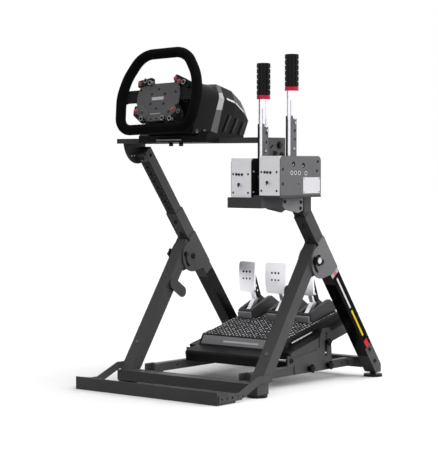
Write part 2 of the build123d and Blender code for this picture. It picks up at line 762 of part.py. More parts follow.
both("inner_tube", make_inner_tube)

# Wheel deck: folded sheet with rounded tilt flanges outside the inner tubes.
deck_half = inner_face + SLIDE_GAP + SHEET
deck_p = rear(DECK_PIVOT_S, REAR_OFFSET)
deck_top = deck_p[1] + DECK_RISE
deck_y1 = DECK_Y0 + DECK_D
deck = block(-deck_half, deck_half, DECK_Y0, deck_y1, deck_top - SHEET, deck_top)
for y in (DECK_Y0, deck_y1 - SHEET):
    deck += block(-deck_half, deck_half, y, y + SHEET, deck_top - DECK_EDGE, deck_top)
for sx in (-1, 1):
    xa, xb = sx * deck_half, sx * (deck_half - SHEET)
    ellipse = Pos(deck_p[0] - FLANGE_BACK, deck_top - FLANGE_SINK) * Ellipse(FLANGE_W, FLANGE_H)
    flange = extrude(yz(min(xa, xb)) * ellipse, SHEET, dir=(1, 0, 0))
    deck += flange & block(xa, xb, DECK_Y0, deck_y1, deck_top - 2 * FLANGE_H, deck_top)
    deck += rod(*deck_p, DECK_PIN_R, sx * (half - tube_h / 2), xb)
nodes["wheel_deck"] = deck

# Steering wheel frame: x across, y up the wheel's face, z towards the driver.
wheel_z = deck_top + WHEEL_RISE
wt, wr = radians(WHEEL_TILT), radians(WHEEL_ROLL)
wheel_flat = Plane(origin=(0, WHEEL_Y, wheel_z), x_dir=(1, 0, 0), z_dir=(0, -cos(wt), sin(wt)))
wheel = Plane(origin=wheel_flat.origin, x_dir=(cos(wr), sin(wr) * sin(wt), sin(wr) * cos(wt)),
              z_dir=wheel_flat.z_dir)


def along(d, up=0.0):
    """Point of the side view on the wheel's axis, d mm behind the rim, up mm off the axis."""
    return (WHEEL_Y + d * cos(wt) + up * sin(wt), wheel_z - d * sin(wt) + up * cos(wt))


# Wheel base: a clamp foot over the deck's edge, then a body in three shells.
foot_half = BASE_FOOT_W / 2
body_half = BASE_BODY_W / 2
foot_top = deck_top + BASE_FOOT_T
clamp_y = DECK_Y0 - CLAMP_GAP
clamp_front = clamp_y - CLAMP_D
clamp = [(clamp_front, deck_top - CLAMP_DROP), (clamp_y, deck_top - CLAMP_DROP), (clamp_y, foot_top),
         (clamp_front + CLAMP_CROWN_AT, foot_top + CLAMP_CROWN), (clamp_front, foot_top - CLAMP_GAP)]
foot = prism(clamp, -foot_half, foot_half)
foot += block(-body_half, body_half, clamp_y - OVER, deck_y1 + BASE_FOOT_BACK, deck_top, foot_top)
nodes["base_foot"] = foot

below = WHEEL_RISE + BASE_TOP


def across(d):
    return Plane(origin=(0, *along(d)), x_dir=(1, 0, 0), z_dir=(0, cos(wt), -sin(wt)))


def round_section(d, top, half_w, shoulder):
    """Outline across the front shell with round shoulders, d mm behind the rim."""
    outline = Polygon((half_w, below), (-half_w, below), (-half_w, -top), (half_w, -top), align=None)
    return across(d) * fillet(outline.vertices().sort_by(Axis.Y)[:2], shoulder)


def facet_section(d, top, half_w):
    """Outline across the rear shell with a flat facet between each side and the top."""
    side, flat = top - FACET_DOWN, half_w - FACET_IN
    return across(d) * Polygon((half_w, below), (-half_w, below), (-half_w, -side), (-flat, -top),
                               (flat, -top), (half_w, -side), align=None)


end_at = BASE_FRONT_AT + BASE_L
front_body = loft([
    round_section(BASE_FRONT_AT, BASE_TOP - BASE_NOSE, body_half - BASE_NARROW, BASE_ROUND),
    round_section(BASE_FRONT_AT + BASE_L * 0.28, BASE_TOP, body_half, BASE_ROUND),
    round_section(BASE_FRONT_AT + BASE_L * 0.61, BASE_TOP, body_half, BASE_ROUND),
])
rear_body = loft([
    facet_section(BASE_FRONT_AT + BASE_L * 0.24, BASE_BACK_TOP, body_half),
    facet_section(BASE_FRONT_AT + BASE_L * 0.66, BASE_BACK_TOP, body_half),
    facet_section(BASE_FRONT_AT + BASE_L * 0.88, (BASE_BACK_TOP + BASE_END_TOP) / 2,
                  body_half - BASE_NARROW / 2),
    facet_section(end_at, BASE_END_TOP, body_half - BASE_NARROW),
], ruled=True)
above = block(-foot_half, foot_half, WHEEL_Y - BASE_L, WHEEL_Y + 2 * BASE_L, foot_top, wheel_z + 2 * BASE_TOP)
front_body = (front_body & above) - foot
front_body -= extrude(wheel_flat.offset(OVER - BASE_FRONT_AT) * Circle(SHAFT_R + SHAFT_ROOM), -HUB_L - OVER)
undercut = [along(end_at + OVER, FACET_IN), along(end_at - SHAFT_IN, -WHEEL_RISE),
            along(end_at + BASE_L, -WHEEL_RISE), along(end_at + BASE_L, FACET_IN)]
rear_body = (rear_body & above) - foot - prism(undercut, -foot_half, foot_half)

# The slanted band lies between the shells; its edges lean and close up towards the top.
band_z0, band_z1 = deck_top - BAND_DOWN, deck_top + BAND_UP
far = WHEEL_Y - BASE_L
front_side = [(far, band_z0), (BAND_LOW_FRONT, band_z0), (BAND_HIGH_FRONT, band_z1), (far, band_z1)]
band_side = [(BAND_LOW_FRONT, band_z0), (BAND_HIGH_FRONT, band_z1), (BAND_HIGH_BACK, band_z1),
             (BAND_LOW_BACK, band_z0)]
front_cut = prism(front_side, -BASE_FOOT_W, BASE_FOOT_W)
band_cut = prism(band_side, -BASE_FOOT_W, BASE_FOOT_W)
nodes["base_front"] = front_body & front_cut
nodes["base_band"] = rear_body & band_cut
base_rear = rear_body - band_cut - front_cut
vent_lean = radians(VENT_LEAN)
for i in range(VENTS):
    low = (VENT_Y + VENT_PITCH * i, deck_top + VENT_UP - VENT_LOWER * i)
    size = VENT_L - VENT_SHORTER * i
    high = (low[0] + size * sin(vent_lean), low[1] + size * cos(vent_lean))
    for sx in (-1, 1):
        base_rear -= link(low, high, VENT_R, sx * (body_half - VENT_DEEP), sx * (body_half + OVER))
nodes["base_rear"] = base_rear

# Rim: a round padded grip swept along a loop with six rounded corners.
grip_r = RIM_GRIP / 2
rim_w, rim_high, rim_low = RIM_HALF_W - grip_r, RIM_HIGH - grip_r, RIM_LOW - grip_r
rim_corners = Polygon((RIM_TOP_W, rim_high), (-RIM_TOP_W, rim_high), (-rim_w, RIM_WIDEST),
                      (-RIM_LOW_W, -rim_low), (RIM_LOW_W, -rim_low), (rim_w, RIM_WIDEST), align=None)
corners = rim_corners.vertices().sort_by(Axis.Y)
rim_loop = fillet(corners[:2], RIM_LOW_ROUND)
rim_loop = fillet([v for v in rim_loop.vertices() if abs(v.Y - RIM_WIDEST) < OVER], RIM_SIDE_ROUND)
rim_loop = fillet(rim_loop.vertices().sort_by(Axis.Y)[-2:], RIM_TOP_ROUND)
loop = wheel * rim_loop.wire()
start = Plane(origin=loop @ 0, z_dir=loop % 0)
nodes["wheel_rim"] = sweep(start * Circle(grip_r), path=loop)
rim_room = sweep(start * Circle(grip_r + RIM_GAP), path=loop)


def wheel_layer(sketch, z0, z1):
    """Flat layer of the wheel between two distances in front of the rim's middle."""
    return extrude(wheel.offset(z0) * sketch, z1 - z0, dir=wheel.z_dir)


# Spokes that flare to the rim, the hub plate in front and the button box behind.
spoke_front = SPOKE_T / 2 - SPOKE_BACK
spoke_rear = spoke_front - SPOKE_T
root, tip, end = SPOKE_W / 2, SPOKE_W / 2 + SPOKE_FLARE, RIM_HALF_W - grip_r
neck = end - SPOKE_FLARE_L
spoke = Polygon((-end, -tip), (-neck, -root), (neck, -root), (end, -tip), (end, tip), (neck, root),
                (-neck, root), (-end, tip), align=None)
hub_mid = (HUB_PLATE_TOP - HUB_PLATE_LOW) / 2
hub_band = Pos(0, hub_mid) * Rectangle(3 * HUB_PLATE_R, HUB_PLATE_TOP + HUB_PLATE_LOW)
shield = Circle(HUB_PLATE_R) & hub_band
shield = fillet(shield.vertices(), HUB_PLATE_ROUND)
disc = Circle(HUB_PLATE_R - DISC_IN) & (Pos(0, hub_mid) * Rectangle(3 * HUB_PLATE_R, 2 * HUB_PLATE_TOP))
nodes["wheel_spokes"] = wheel_layer(Pos(0, SPOKE_UP) * spoke + disc, spoke_rear, spoke_front) - rim_room
nodes["wheel_plate"] = wheel_layer(shield, spoke_front, spoke_front + PLATE_T)

pods = [(-POD_LOW_U, POD_LOW_V), (POD_LOW_U, POD_LOW_V), (POD_UP_U, POD_UP_V), (-POD_UP_U, POD_UP_V)]
box_outline = Polygon(*[(BOX_SHARE * u, BOX_SHARE * v) for u, v in pods], align=None)
for u, v in pods:
    box_outline += Pos(u, v) * Circle(POD_R)
box_outline -= Circle(HUB_R + RIM_GAP)
nodes["button_box"] = wheel_layer(box_outline, spoke_rear - POD_T, spoke_rear) - rim_room
hub = wheel_layer(Circle(HUB_R), spoke_rear - HUB_L, spoke_rear)
hub += wheel_layer(Circle(SHAFT_R), -BASE_FRONT_AT - SHAFT_IN, spoke_rear - HUB_L)
nodes["wheel_hub"] = hub

# Side tray for the lever units, on a post bolted to the right inner tube.
tray_x0 = inner_face + TRAY_GAP
unit_x_in = tray_x0 + UNIT_IN
unit_x_out = unit_x_in + UNIT_PITCH
tray_x1 = unit_x_out + TRAY_PAST
tray_z = deck_top - TRAY_BELOW_DECK
tray_low = tray_z - SHEET
post_y, post_z = rear(POST_S, REAR_OFFSET)
post_end = post_y + POST_BACK
post = block(tray_x0, tray_x0 + POST_T, post_y - POST_FRONT, post_end, post_z - POST_DROP, tray_low)
post += rod(post_y, post_z, POST_BOSS_R, inner_face, tray_x0 + POST_BOSS_L)
nodes["lever_post"] = post

lever_tray = block(tray_x0, tray_x1, TRAY_Y0, TRAY_Y1, tray_low, tray_z)
lever_tray += block(tray_x0, tray_x0 + TONGUE_W, TRAY_Y1 - OVER, post_end, tray_low, tray_z)
lever_tray += block(tray_x0, tray_x1, TRAY_Y0, TRAY_Y0 + SHEET, tray_z - LEVER_LIP, tray_z)
gusset_y = TRAY_Y1 - GUSSET_D
gusset = [(gusset_y, tray_z), (gusset_y, tray_z - GUSSET_FRONT), (gusset_y + GUSSET_RUN, tray_z - GUSSET_MID),
          (TRAY_Y1 - GUSSET_TAIL, tray_z - GUSSET_DEEP), (TRAY_Y1, tray_z - GUSSET_END), (TRAY_Y1, tray_z)]
for x in (tray_x1 - SHEET, tray_x1 - GUSSET_GAP):
    lever_tray += block(x, x + SHEET, TRAY_Y0, gusset_y + OVER, tray_z - LEVER_LIP, tray_z)
    lever_tray += prism(gusset, x, x + SHEET)
lever_tray += block(unit_x_in + UNIT_W + ADAPTER_GAP, unit_x_out + UNIT_W, UNIT_Y0, UNIT_Y0 + UNIT_L, tray_z,
                    tray_z + ADAPTER_T)
nodes["lever_tray"] = lever_tray
lever_y = UNIT_Y0 + LEVER_AT


def make_unit(x0, z0):
    """Lever housing with round back corners, open along the top where the lever swings."""
    x1, z1 = x0 + UNIT_W, z0 + UNIT_H
    y0, y1 = UNIT_Y0 + UNIT_FACE_T, UNIT_Y0 + UNIT_L
    corners = Polygon((y0, z0), (y1, z0), (y1, z1), (y0, z1), align=None)
    side = fillet(corners.vertices().sort_by(Axis.X)[-2:], UNIT_ROUND)
    body = extrude(yz(x0 + UNIT_SIDE_IN) * side, UNIT_W - 2 * UNIT_SIDE_IN, dir=(1, 0, 0))
    mid = x0 + UNIT_W / 2
    wide = LEVER_HALF + SLOT_SIDE
    body -= block(mid - wide, mid + wide, lever_y - SWING_FRONT, lever_y + SWING_BACK, z0 + SLOT_FLOOR,
                  z1 + OVER)
    return body + rod(lever_y, z0 + LEVER_PIN_UP, LEVER_PIN_R, x0 + LEVER_PIN_END, x1 - LEVER_PIN_END)


def make_unit_face(x0, z0):
    """Front plate of the housing, rounded over at its sides and top."""
    plate = block(x0, x0 + UNIT_W, UNIT_Y0, UNIT_Y0 + UNIT_FACE_T, z0, z0 + UNIT_H + UNIT_FACE_UP)
    front = plate.faces().sort_by(Axis.Y)[0].edges().sort_by(Axis.Z)[1:]
    return fillet(front, UNIT_FACE_ROUND)


def make_lever(x0, z0, top):
    """Drilled flat bar on the pin, then a round tube with a collar below the grip."""
    mid = x0 + UNIT_W / 2
    x_low, x_high = mid - LEVER_HALF, mid + LEVER_HALF
    pin_at = (lever_y, z0 + LEVER_PIN_UP)
    grip_low = z0 + top - GRIP_L
    tube_low = grip_low - LEVER_TUBE_L
    bar = link(pin_at, (lever_y, tube_low + LEVER_BAR_PAST), LEVER_BAR_R, x_low, x_high)
    bar += Pos(mid, lever_y, (tube_low + grip_low) / 2) * Cylinder(LEVER_TUBE_R, LEVER_TUBE_L)
    bar += Pos(mid, lever_y, grip_low - COLLAR_H / 2) * Cylinder(GRIP_R - COLLAR_IN, COLLAR_H)
    z = pin_at[1] + LEVER_HOLE_AT
    while z < tube_low - LEVER_HOLE_END:
        bar -= rod(lever_y, z, LEVER_HOLE_R, x_low - OVER, x_high + OVER)
        z += LEVER_HOLE_PITCH
    return bar - rod(*pin_at, LEVER_PIN_R + PIN_PLAY, x_low - OVER, x_high + OVER)


def make_grip(x0, z0, top):
    """Ribbed rubber grip with a rounded top."""
    mid = x0 + UNIT_W / 2
    low = z0 + top - GRIP_L
    grip = Pos(mid, lever_y, low + GRIP_L / 2) * Cylinder(GRIP_R, GRIP_L)
    grip = fillet(grip.edges().sort_by(Axis.Z)[-1:], GRIP_ROUND)
    groove = Cylinder(GRIP_R + OVER, GROOVE_W) - Cylinder(GRIP_R - GROOVE_DEEP, GROOVE_W)
    for i in range(1, GRIP_GROOVES + 1):
        grip -= Pos(mid, lever_y, low + GRIP_L * i / (GRIP_GROOVES + 1)) * groove
    return grip


for name, x0, z0, top in (("inner", unit_x_in, tray_z, LEVER_TOP_IN),
                          ("outer", unit_x_out, tray_z + ADAPTER_T, LEVER_TOP_OUT)):
    nodes[name + "_lever_housing"] = make_unit(x0, z0)
    nodes[name + "_lever_face"] = make_unit_face(x0, z0)
    nodes[name + "_lever"] = make_lever(x0, z0, top)
    nodes[name + "_grip"] = make_grip(x0, z0, top)

# Centre the whole object over the origin and write one file per piece.
boxes = [shape.bounding_box() for shape in nodes.values()]
shift_x = -(min(b.min.X for b in boxes) + max(b.max.X for b in boxes)) / 2
shift_y = -(min(b.min.Y for b in boxes) + max(b.max.Y for b in boxes)) / 2

os.makedirs("parts", exist_ok=True)
for name, shape in nodes.items():
    export_step(Pos(shift_x, shift_y, 0) * shape, f"parts/{name}.step")
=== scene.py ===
from math import cos, pi, radians, sin, tan

import bmesh
import bpy
from mathutils import Matrix, Vector


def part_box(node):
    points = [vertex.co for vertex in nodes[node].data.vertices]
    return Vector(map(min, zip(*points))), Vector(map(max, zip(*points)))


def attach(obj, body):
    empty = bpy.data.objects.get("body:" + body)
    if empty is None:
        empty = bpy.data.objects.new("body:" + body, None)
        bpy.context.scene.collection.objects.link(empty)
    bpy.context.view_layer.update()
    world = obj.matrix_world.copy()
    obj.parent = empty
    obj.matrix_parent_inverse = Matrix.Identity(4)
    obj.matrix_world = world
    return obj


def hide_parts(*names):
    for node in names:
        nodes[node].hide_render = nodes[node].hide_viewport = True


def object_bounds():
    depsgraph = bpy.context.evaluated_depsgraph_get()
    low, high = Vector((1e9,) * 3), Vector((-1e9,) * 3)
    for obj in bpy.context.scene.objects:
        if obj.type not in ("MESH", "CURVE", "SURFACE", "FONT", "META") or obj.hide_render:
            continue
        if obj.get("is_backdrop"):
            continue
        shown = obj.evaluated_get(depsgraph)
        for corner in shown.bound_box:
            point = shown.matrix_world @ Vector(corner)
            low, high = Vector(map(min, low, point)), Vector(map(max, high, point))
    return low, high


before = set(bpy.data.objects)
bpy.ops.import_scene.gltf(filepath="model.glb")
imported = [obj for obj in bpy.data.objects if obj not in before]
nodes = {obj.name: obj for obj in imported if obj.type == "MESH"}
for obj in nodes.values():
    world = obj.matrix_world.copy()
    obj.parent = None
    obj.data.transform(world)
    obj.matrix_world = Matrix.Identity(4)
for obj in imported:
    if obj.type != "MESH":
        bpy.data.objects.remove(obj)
cad_low, cad_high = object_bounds()

MM = 0.001
X, Y, Z = Vector((1, 0, 0)), Vector((0, 1, 0)), Vector((0, 0, 1))
SIDES = ((1, "right"), (-1, "left"))

# Layout of the stand in mm, as the solids have it: x from the middle, y from the deck's datum.
# A slab's size is its width, depth, height and corner; a disc's is its radius, height and sides;
# a screw's is the radius and height of its head.
LEG_X, LEG_IN, LEG_OUT = 240.0, 220.0, 260.0
TUBE_D = 36.0
REAR_LEAN = radians(37.2)
REAR_OFFSET = 467.0
FRONT_LEAN = radians(34.2)
FRONT_OFFSET = -12.0
PIVOT = (268.0, 360.0)
STUD = (235.0, 365.8)
DECK_Y0 = -22.0
DECK_TOP = 711.98
WHEEL = (-134.8, 821.98)
WHEEL_TILT = radians(14.0)
WHEEL_ROLL = radians(2.0)
RIM_R = 14.5
RIM_CORNERS = ((80.0, 127.5, 70.0), (-80.0, 127.5, 70.0), (-124.0, 62.0, 120.0), (-138.5, 8.0, 100.0),
               (-126.0, -88.5, 42.0), (126.0, -88.5, 42.0), (138.5, 8.0, 100.0), (124.0, 62.0, 120.0))
PLATE_FRONT = 2.5
PEDAL = (220.0, 98.0)
PEDAL_TILT = radians(13.5)
PEDAL_W, PEDAL_L, PEDAL_H = 306.0, 328.0, 27.0
MODULE_Y, MODULE_W = 186.0, 54.0
UNIT_Y0, UNIT_W, UNIT_L, UNIT_H = -150.0, 70.0, 180.0, 102.0
LEVER_Y = -54.0
GRIP_L = 86.0
# Lever units by left side, foot and height of the lever's top; pedals by middle and height of the face.
LEVER_UNITS = (("inner", 268.0, 551.98, 357.0), ("outer", 362.0, 557.98, 371.0))
PEDALS = (("clutch", -110.0, 93.0), ("brake", 0.0, 93.0), ("throttle", 110.0, 121.0))

deck_low, deck_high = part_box("wheel_deck")
mid_x = (deck_low.x + deck_high.x) / 2
datum_y = deck_low.y - DECK_Y0 * MM


def at(x, y, z):
    """A point of the layout, in metres in the row frame."""
    return Vector((mid_x + x * MM, datum_y + y * MM, z * MM))


def shift(x, y, z):
    return Matrix.Translation((x * MM, y * MM, z * MM))


def place(point, out, up):
    """Local x to the right, y up and z out of a surface at a point."""
    out = out.normalized()
    right = up.cross(out).normalized()
    up = out.cross(right)
    m = Matrix((right, up, out)).transposed().to_4x4()
    m.translation = point
    return m


def turn(degrees):
    return Matrix.Rotation(radians(degrees), 4, "Z")


def right_face(x, y, z):
    return place(at(x, y, z), X, Z)


def left_face(x, y, z):
    return place(at(x, y, z), -X, Z)


def front_face(x, y, z):
    return place(at(x, y, z), -Y, Z)


def both_sides(x, spots, angle=0.0):
    """Right faces x mm from the middle, and left faces that mirror them, at spots given by y and z."""
    return ([right_face(x, *spot) @ turn(angle) for spot in spots]
            + [left_face(-x, *spot) @ turn(-angle) for spot in spots])


def rear_leg(x, s, n, out=None):
    """Place on a rear leg, s mm up its axis and n mm from its datum, facing forwards unless told."""
    a = REAR_LEAN
    along = Vector((0, -sin(a), cos(a)))
    across = Vector((0, cos(a), sin(a)))
    point = at(x, -s * sin(a) + n * cos(a), s * cos(a) + n * sin(a))
    return place(point, -across if out is None else out, along)


def both_rear_legs(s, n):
    return [rear_leg(sx * LEG_X, s, n) for sx in (-1, 1)]


def front_leg(x, s, n):
    """Place on the front of a front leg, s mm up its axis and n mm from its datum."""
    a = FRONT_LEAN
    along = Vector((0, sin(a), cos(a)))
    across = Vector((0, cos(a), -sin(a)))
    return place(at(x, s * sin(a) + n * cos(a), s * cos(a) - n * sin(a)), -across, along)


wheel_out = Vector((0, -cos(WHEEL_TILT), sin(WHEEL_TILT)))
wheel_right = Vector((cos(WHEEL_ROLL), sin(WHEEL_ROLL) * sin(WHEEL_TILT), sin(WHEEL_ROLL) * cos(WHEEL_TILT)))
wheel_up = wheel_out.cross(wheel_right)


def wheel(u, v, z):
    """Place on the wheel: u right and v up from its axis, z in front of the rim's middle."""
    point = at(0, *WHEEL) + (wheel_right * u + wheel_up * v + wheel_out * z) * MM
    return place(point, wheel_out, wheel_up)


tilt_along = Vector((0, cos(PEDAL_TILT), sin(PEDAL_TILT)))
tilt_out = Vector((0, -sin(PEDAL_TILT), cos(PEDAL_TILT)))


def pedal_point(x, y, z):
    """A point of the tilted pedal base, y mm back and z mm above the tray."""
    return at(x, *PEDAL) + (tilt_along * y + tilt_out * z) * MM


def pedal_top(x, y, z):
    return place(pedal_point(x, y, z), tilt_out, tilt_along)


def pedal_side(x, y, z, out):
    return place(pedal_point(x, y, z), out, tilt_out)


# Camera at the photograph's angle.
CAMERA = (2958.0, -3487.0, 648.0)
AZIMUTH, PITCH = radians(39.29), radians(2.25)
FOCAL_PX, LONG_SIDE = 1618.9, 449.0
SENSOR, CLIP_END = 36.0, 100.0

camera_data = bpy.data.cameras.new("camera")
camera = bpy.data.objects.new("camera", camera_data)
bpy.context.scene.collection.objects.link(camera)
look = Vector((-sin(AZIMUTH) * cos(PITCH), cos(AZIMUTH) * cos(PITCH), -sin(PITCH)))
camera.location = at(*CAMERA)
camera.rotation_euler = look.to_track_quat("-Z", "Y").to_euler()
camera_data.sensor_width = SENSOR
camera_data.lens = FOCAL_PX / LONG_SIDE * SENSOR
camera_data.clip_end = CLIP_END
bpy.context.scene.camera = camera
bpy.context.scene.view_settings.view_transform = "Standard"


class Flow:
    """One output in a node tree. Arithmetic on it adds Math nodes."""

    def __init__(self, tree, socket=None):
        self.tree, self.socket = tree, socket

    def node(self, kind, settings=None, inputs=None, out=0):
        made = self.tree.nodes.new("ShaderNode" + kind)
        for key, value in (settings or {}).items():
            setattr(made, key, value)
        for key, value in (inputs or {}).items():
            if isinstance(value, Flow):
                self.tree.links.new(value.socket, made.inputs[key])
            else:
                made.inputs[key].default_value = value
        return Flow(self.tree, made.outputs[out])

    def math(self, operation, a, b):
        return self.node("Math", {"operation": operation}, {0: a, 1: b})

    def __add__(self, other):
        return self.math("ADD", self, other)

    def __sub__(self, other):
        return self.math("SUBTRACT", self, other)

    def __rsub__(self, other):
        return self.math("SUBTRACT", other, self)

    def __mul__(self, other):
        return self.math("MULTIPLY", self, other)

    def __gt__(self, other):
        return self.math("GREATER_THAN", self, other)

    def __lt__(self, other):
        return self.math("LESS_THAN", self, other)

    __radd__, __rmul__ = __add__, __mul__

    def mix(self, a, b):
        """Colour a where this is 0 and b where it is 1."""
        return self.node("Mix", {"data_type": "RGBA"}, {0: self, 6: a, 7: b}, out=2)

    def seen(self):
        """1 for rays that show the studio: from the camera, and by gloss or glass."""
        camera_ray, glossy_ray, clear_ray = (self.node("LightPath", out=i) for i in (0, 3, 6))
        return (camera_ray + glossy_ray + clear_ray) > 0.5


def cool(value):
    """A grey with a trace of blue."""
    return (value, value, value * 1.04, 1.0)


def grey(value):
    return (value, value, value, 1.0)


class Finish:
    """A material under construction: its node tree, object coordinates and shader."""

    def __init__(self, name, **constants):
        self.material = bpy.data.materials.new(name)
        self.material.use_nodes = True
        tree = self.material.node_tree
        self.shader = next(n for n in tree.nodes if n.type == "BSDF_PRINCIPLED")
        self.flow = Flow(tree)
        for socket, value in constants.items():
            self.shader.inputs[socket.replace("_", " ")].default_value = value
        self.place = self.flow.node("TexCoord", out=3)

    def part(self, axis):
        return self.flow.node("SeparateXYZ", None, {0: self.place}, out=axis)

    def stretched(self, scale):
        return self.flow.node("Mapping", None, {"Vector": self.place, "Scale": scale})

    def noise(self, scale, detail=3.0, rough=0.55, stretch=None):
        where = self.place if stretch is None else self.stretched(stretch)
        return self.flow.node("TexNoise", None, {"Vector": where, "Scale": scale, "Detail": detail,
                                                 "Roughness": rough})

    def band(self, value, low, high):
        """0 below low, 1 above high, a straight ramp between."""
        return self.flow.node("MapRange", None, {0: value, 1: low, 2: high, 3: 0.0, 4: 1.0})

    def set(self, **sockets):
        for socket, value in sockets.items():
            self.flow.tree.links.new(value.socket, self.shader.inputs[socket.replace("_", " ")])
        return self

    def bump(self, height, strength, distance):
        return self.set(Normal=self.flow.node("Bump", None, {"Strength": strength, "Distance": distance,
                                                             "Height": height}))


def moulded(name, tone, vary, rough, grain, bump, gloss=0.5, metal=0.0):
    """A surface with a fine all-over grain, patchy tone and a little dust on it."""
    f = Finish(name, Metallic=metal, Specular_IOR_Level=gloss)
    patch = f.noise(9.0, 4.0)
    fine = f.noise(grain, 2.0, 0.6)
    patchy = f.band(patch, 0.3, 0.7).mix(cool(tone * (1 - vary)), cool(tone * (1 + vary)))
    speck = f.band(fine, 0.58, 0.76) * 0.25
    f.set(Base_Color=speck.mix(patchy, cool(tone * 1.9 + 0.004)))
    f.set(Roughness=f.band(f.noise(40.0, 5.0), 0.25, 0.75) * 0.14 + (rough - 0.07))
    return f.bump(fine, bump, 0.0006)


def brushed(name, tone, rough, stretch, metal, line):
    """Metal with fine lines drawn along one way."""
    f = Finish(name, Metallic=metal)
    lines = f.noise(60.0, 6.0, 0.7, stretch)
    cloud = f.noise(14.0, 3.0)
    drawn = f.band(lines, 0.25, 0.75).mix(cool(tone * (1 - line)), cool(min(1.0, tone * (1 + line))))
    f.set(Base_Color=f.band(cloud, 0.2, 0.9).mix(drawn, cool(tone * 0.92)))
    f.set(Roughness=f.band(lines, 0.2, 0.8) * 0.2 + (rough - 0.1))
    return f.bump(lines, 0.18, 0.0004)


def coloured(name, dark, light, rough, metal=0.0):
    """A coloured finish with a soft cloud and a fine grain."""
    f = Finish(name, Metallic=metal)
    f.set(Base_Color=f.band(f.noise(30.0, 4.0), 0.25, 0.75).mix(dark, light))
    f.set(Roughness=f.band(f.noise(300.0, 3.0), 0.2, 0.8) * 0.15 + (rough - 0.07))
    return f.bump(f.noise(900.0), 0.06, 0.0004)


# Tone, variation, roughness, grain, bump and gloss.
coat = moulded("charcoal_powder_coat", 0.060, 0.10, 0.42, 900.0, 0.22, 0.14)
# A paler copy of the charcoal coat: painted light on the right fold bracket, and a painted highlight on the
# index strips' hole rims.
pale_lit_coat = moulded("pale_lit_charcoal_coat", 0.140, 0.08, 0.42, 900.0, 0.20, 0.20)
leg_black = moulded("satin_black_coat", 0.006, 0.12, 0.42, 900.0, 0.20, 0.10)
shell = moulded("base_shell_plastic", 0.010, 0.10, 0.34, 1300.0, 0.10, 0.06)
black_plastic = moulded("matt_black_plastic", 0.005, 0.12, 0.45, 1400.0, 0.15, 0.10)
pedal_black = moulded("pedal_black_plastic", 0.014, 0.12, 0.36, 1100.0, 0.14, 0.16)
housing_black = moulded("pedal_housing_plastic", 0.036, 0.12, 0.36, 1100.0, 0.14, 0.16)
rubber = moulded("grip_rubber", 0.006, 0.15, 0.40, 1500.0, 0.20, 0.16)
hub_grey = moulded("anodised_hub_grey", 0.095, 0.06, 0.42, 1600.0, 0.10, 0.20, metal=0.1)
unit_grey = moulded("blasted_grey_aluminium", 0.120, 0.06, 0.45, 1200.0, 0.16, 0.20, metal=0.1)
# Pale sheet for the lever tray's gusset: painted light.
painted_lit_plate = moulded("pale_plate_painted_light", 0.260, 0.06, 0.45, 1200.0, 0.16, 0.20)
oxide = moulded("black_oxide_steel", 0.012, 0.20, 0.34, 700.0, 0.08, 0.30, metal=0.5)
dark_chrome = moulded("dark_chrome", 0.220, 0.10, 0.20, 500.0, 0.03, metal=1.0)
steel = moulded("bright_steel", 0.620, 0.06, 0.20, 500.0, 0.03, metal=1.0)
plain_white = moulded("bare_white_plate", 0.620, 0.02, 0.40, 900.0, 0.05)
panel_metal = moulded("satin_grey_panel", 0.220, 0.08, 0.36, 1300.0, 0.08, 0.20, metal=0.1)
panel_grey = moulded("bare_grey_plate", 0.340, 0.03, 0.40, 900.0, 0.05)
panel_black = moulded("gloss_black_panel", 0.004, 0.10, 0.20, 900.0, 0.02, 0.08)

# Tone, roughness, stretch of the lines, metal and strength of the lines.
face_aluminium = brushed("brushed_pedal_aluminium", 0.98, 0.32, (9.0, 9.0, 0.15), 0.95, 0.20)
unit_aluminium = brushed("brushed_unit_aluminium", 0.76, 0.42, (0.4, 1.0, 22.0), 0.50, 0.08)
polished = brushed("polished_lever_tube", 0.98, 0.20, (1.0, 1.0, 16.0), 0.90, 0.03)

red_button = coloured("red_button_cap", (0.42, 0.012, 0.016, 1), (0.62, 0.03, 0.03, 1), 0.3)
red_ring = coloured("red_anodised_ring", (0.42, 0.004, 0.03, 1), (0.62, 0.012, 0.06, 1), 0.28, metal=0.6)
teal_button = coloured("dark_teal_cap", (0.006, 0.014, 0.016, 1), (0.01, 0.022, 0.025, 1), 0.3)
light_strip = coloured("pale_light_bar", (0.5, 0.5, 0.52, 1), (0.62, 0.62, 0.64, 1), 0.3)


def make_suede():
    """Black suede: short nap that lies in patches, with a soft sheen."""
    f = Finish("black_suede", Sheen_Weight=0.01, Sheen_Roughness=0.5, Specular_IOR_Level=0.04)
    nap = f.noise(700.0, 4.0, 0.7)
    lay = f.noise(38.0, 3.0)
    tone = f.band(lay, 0.3, 0.7).mix(cool(0.002), cool(0.004))
    f.set(Base_Color=(f.band(nap, 0.5, 0.8) * 0.5).mix(tone, cool(0.008)))
    f.set(Roughness=f.band(nap, 0.2, 0.8) * 0.1 + 0.86)
    return f.bump(nap, 0.5, 0.0008)


# Heights between which the band is painted bright as a highlight.
BAND_HIGHLIGHT = (790.0, 838.0)


def make_band():
    """Grey band with a painted highlight: its upper part, between two heights, is coloured bright silver."""
    f = Finish("slanted_band_metal", Metallic=0.3, Specular_IOR_Level=0.3)
    z = f.part(2)
    # Painted highlight: bright silver between these heights.
    upper = (z > BAND_HIGHLIGHT[0] * MM) * (z < BAND_HIGHLIGHT[1] * MM)
    lines = f.noise(60.0, 5.0, 0.6, (1.0, 14.0, 1.0))
    dark = f.band(lines, 0.2, 0.8).mix(cool(0.08), cool(0.11))
    bright = f.band(lines, 0.2, 0.8).mix(cool(0.34), cool(0.42))
    f.set(Base_Color=upper.mix(dark, bright))
    f.set(Roughness=f.band(lines, 0.2, 0.8) * 0.12 + 0.3)
    return f.bump(lines, 0.1, 0.0004)


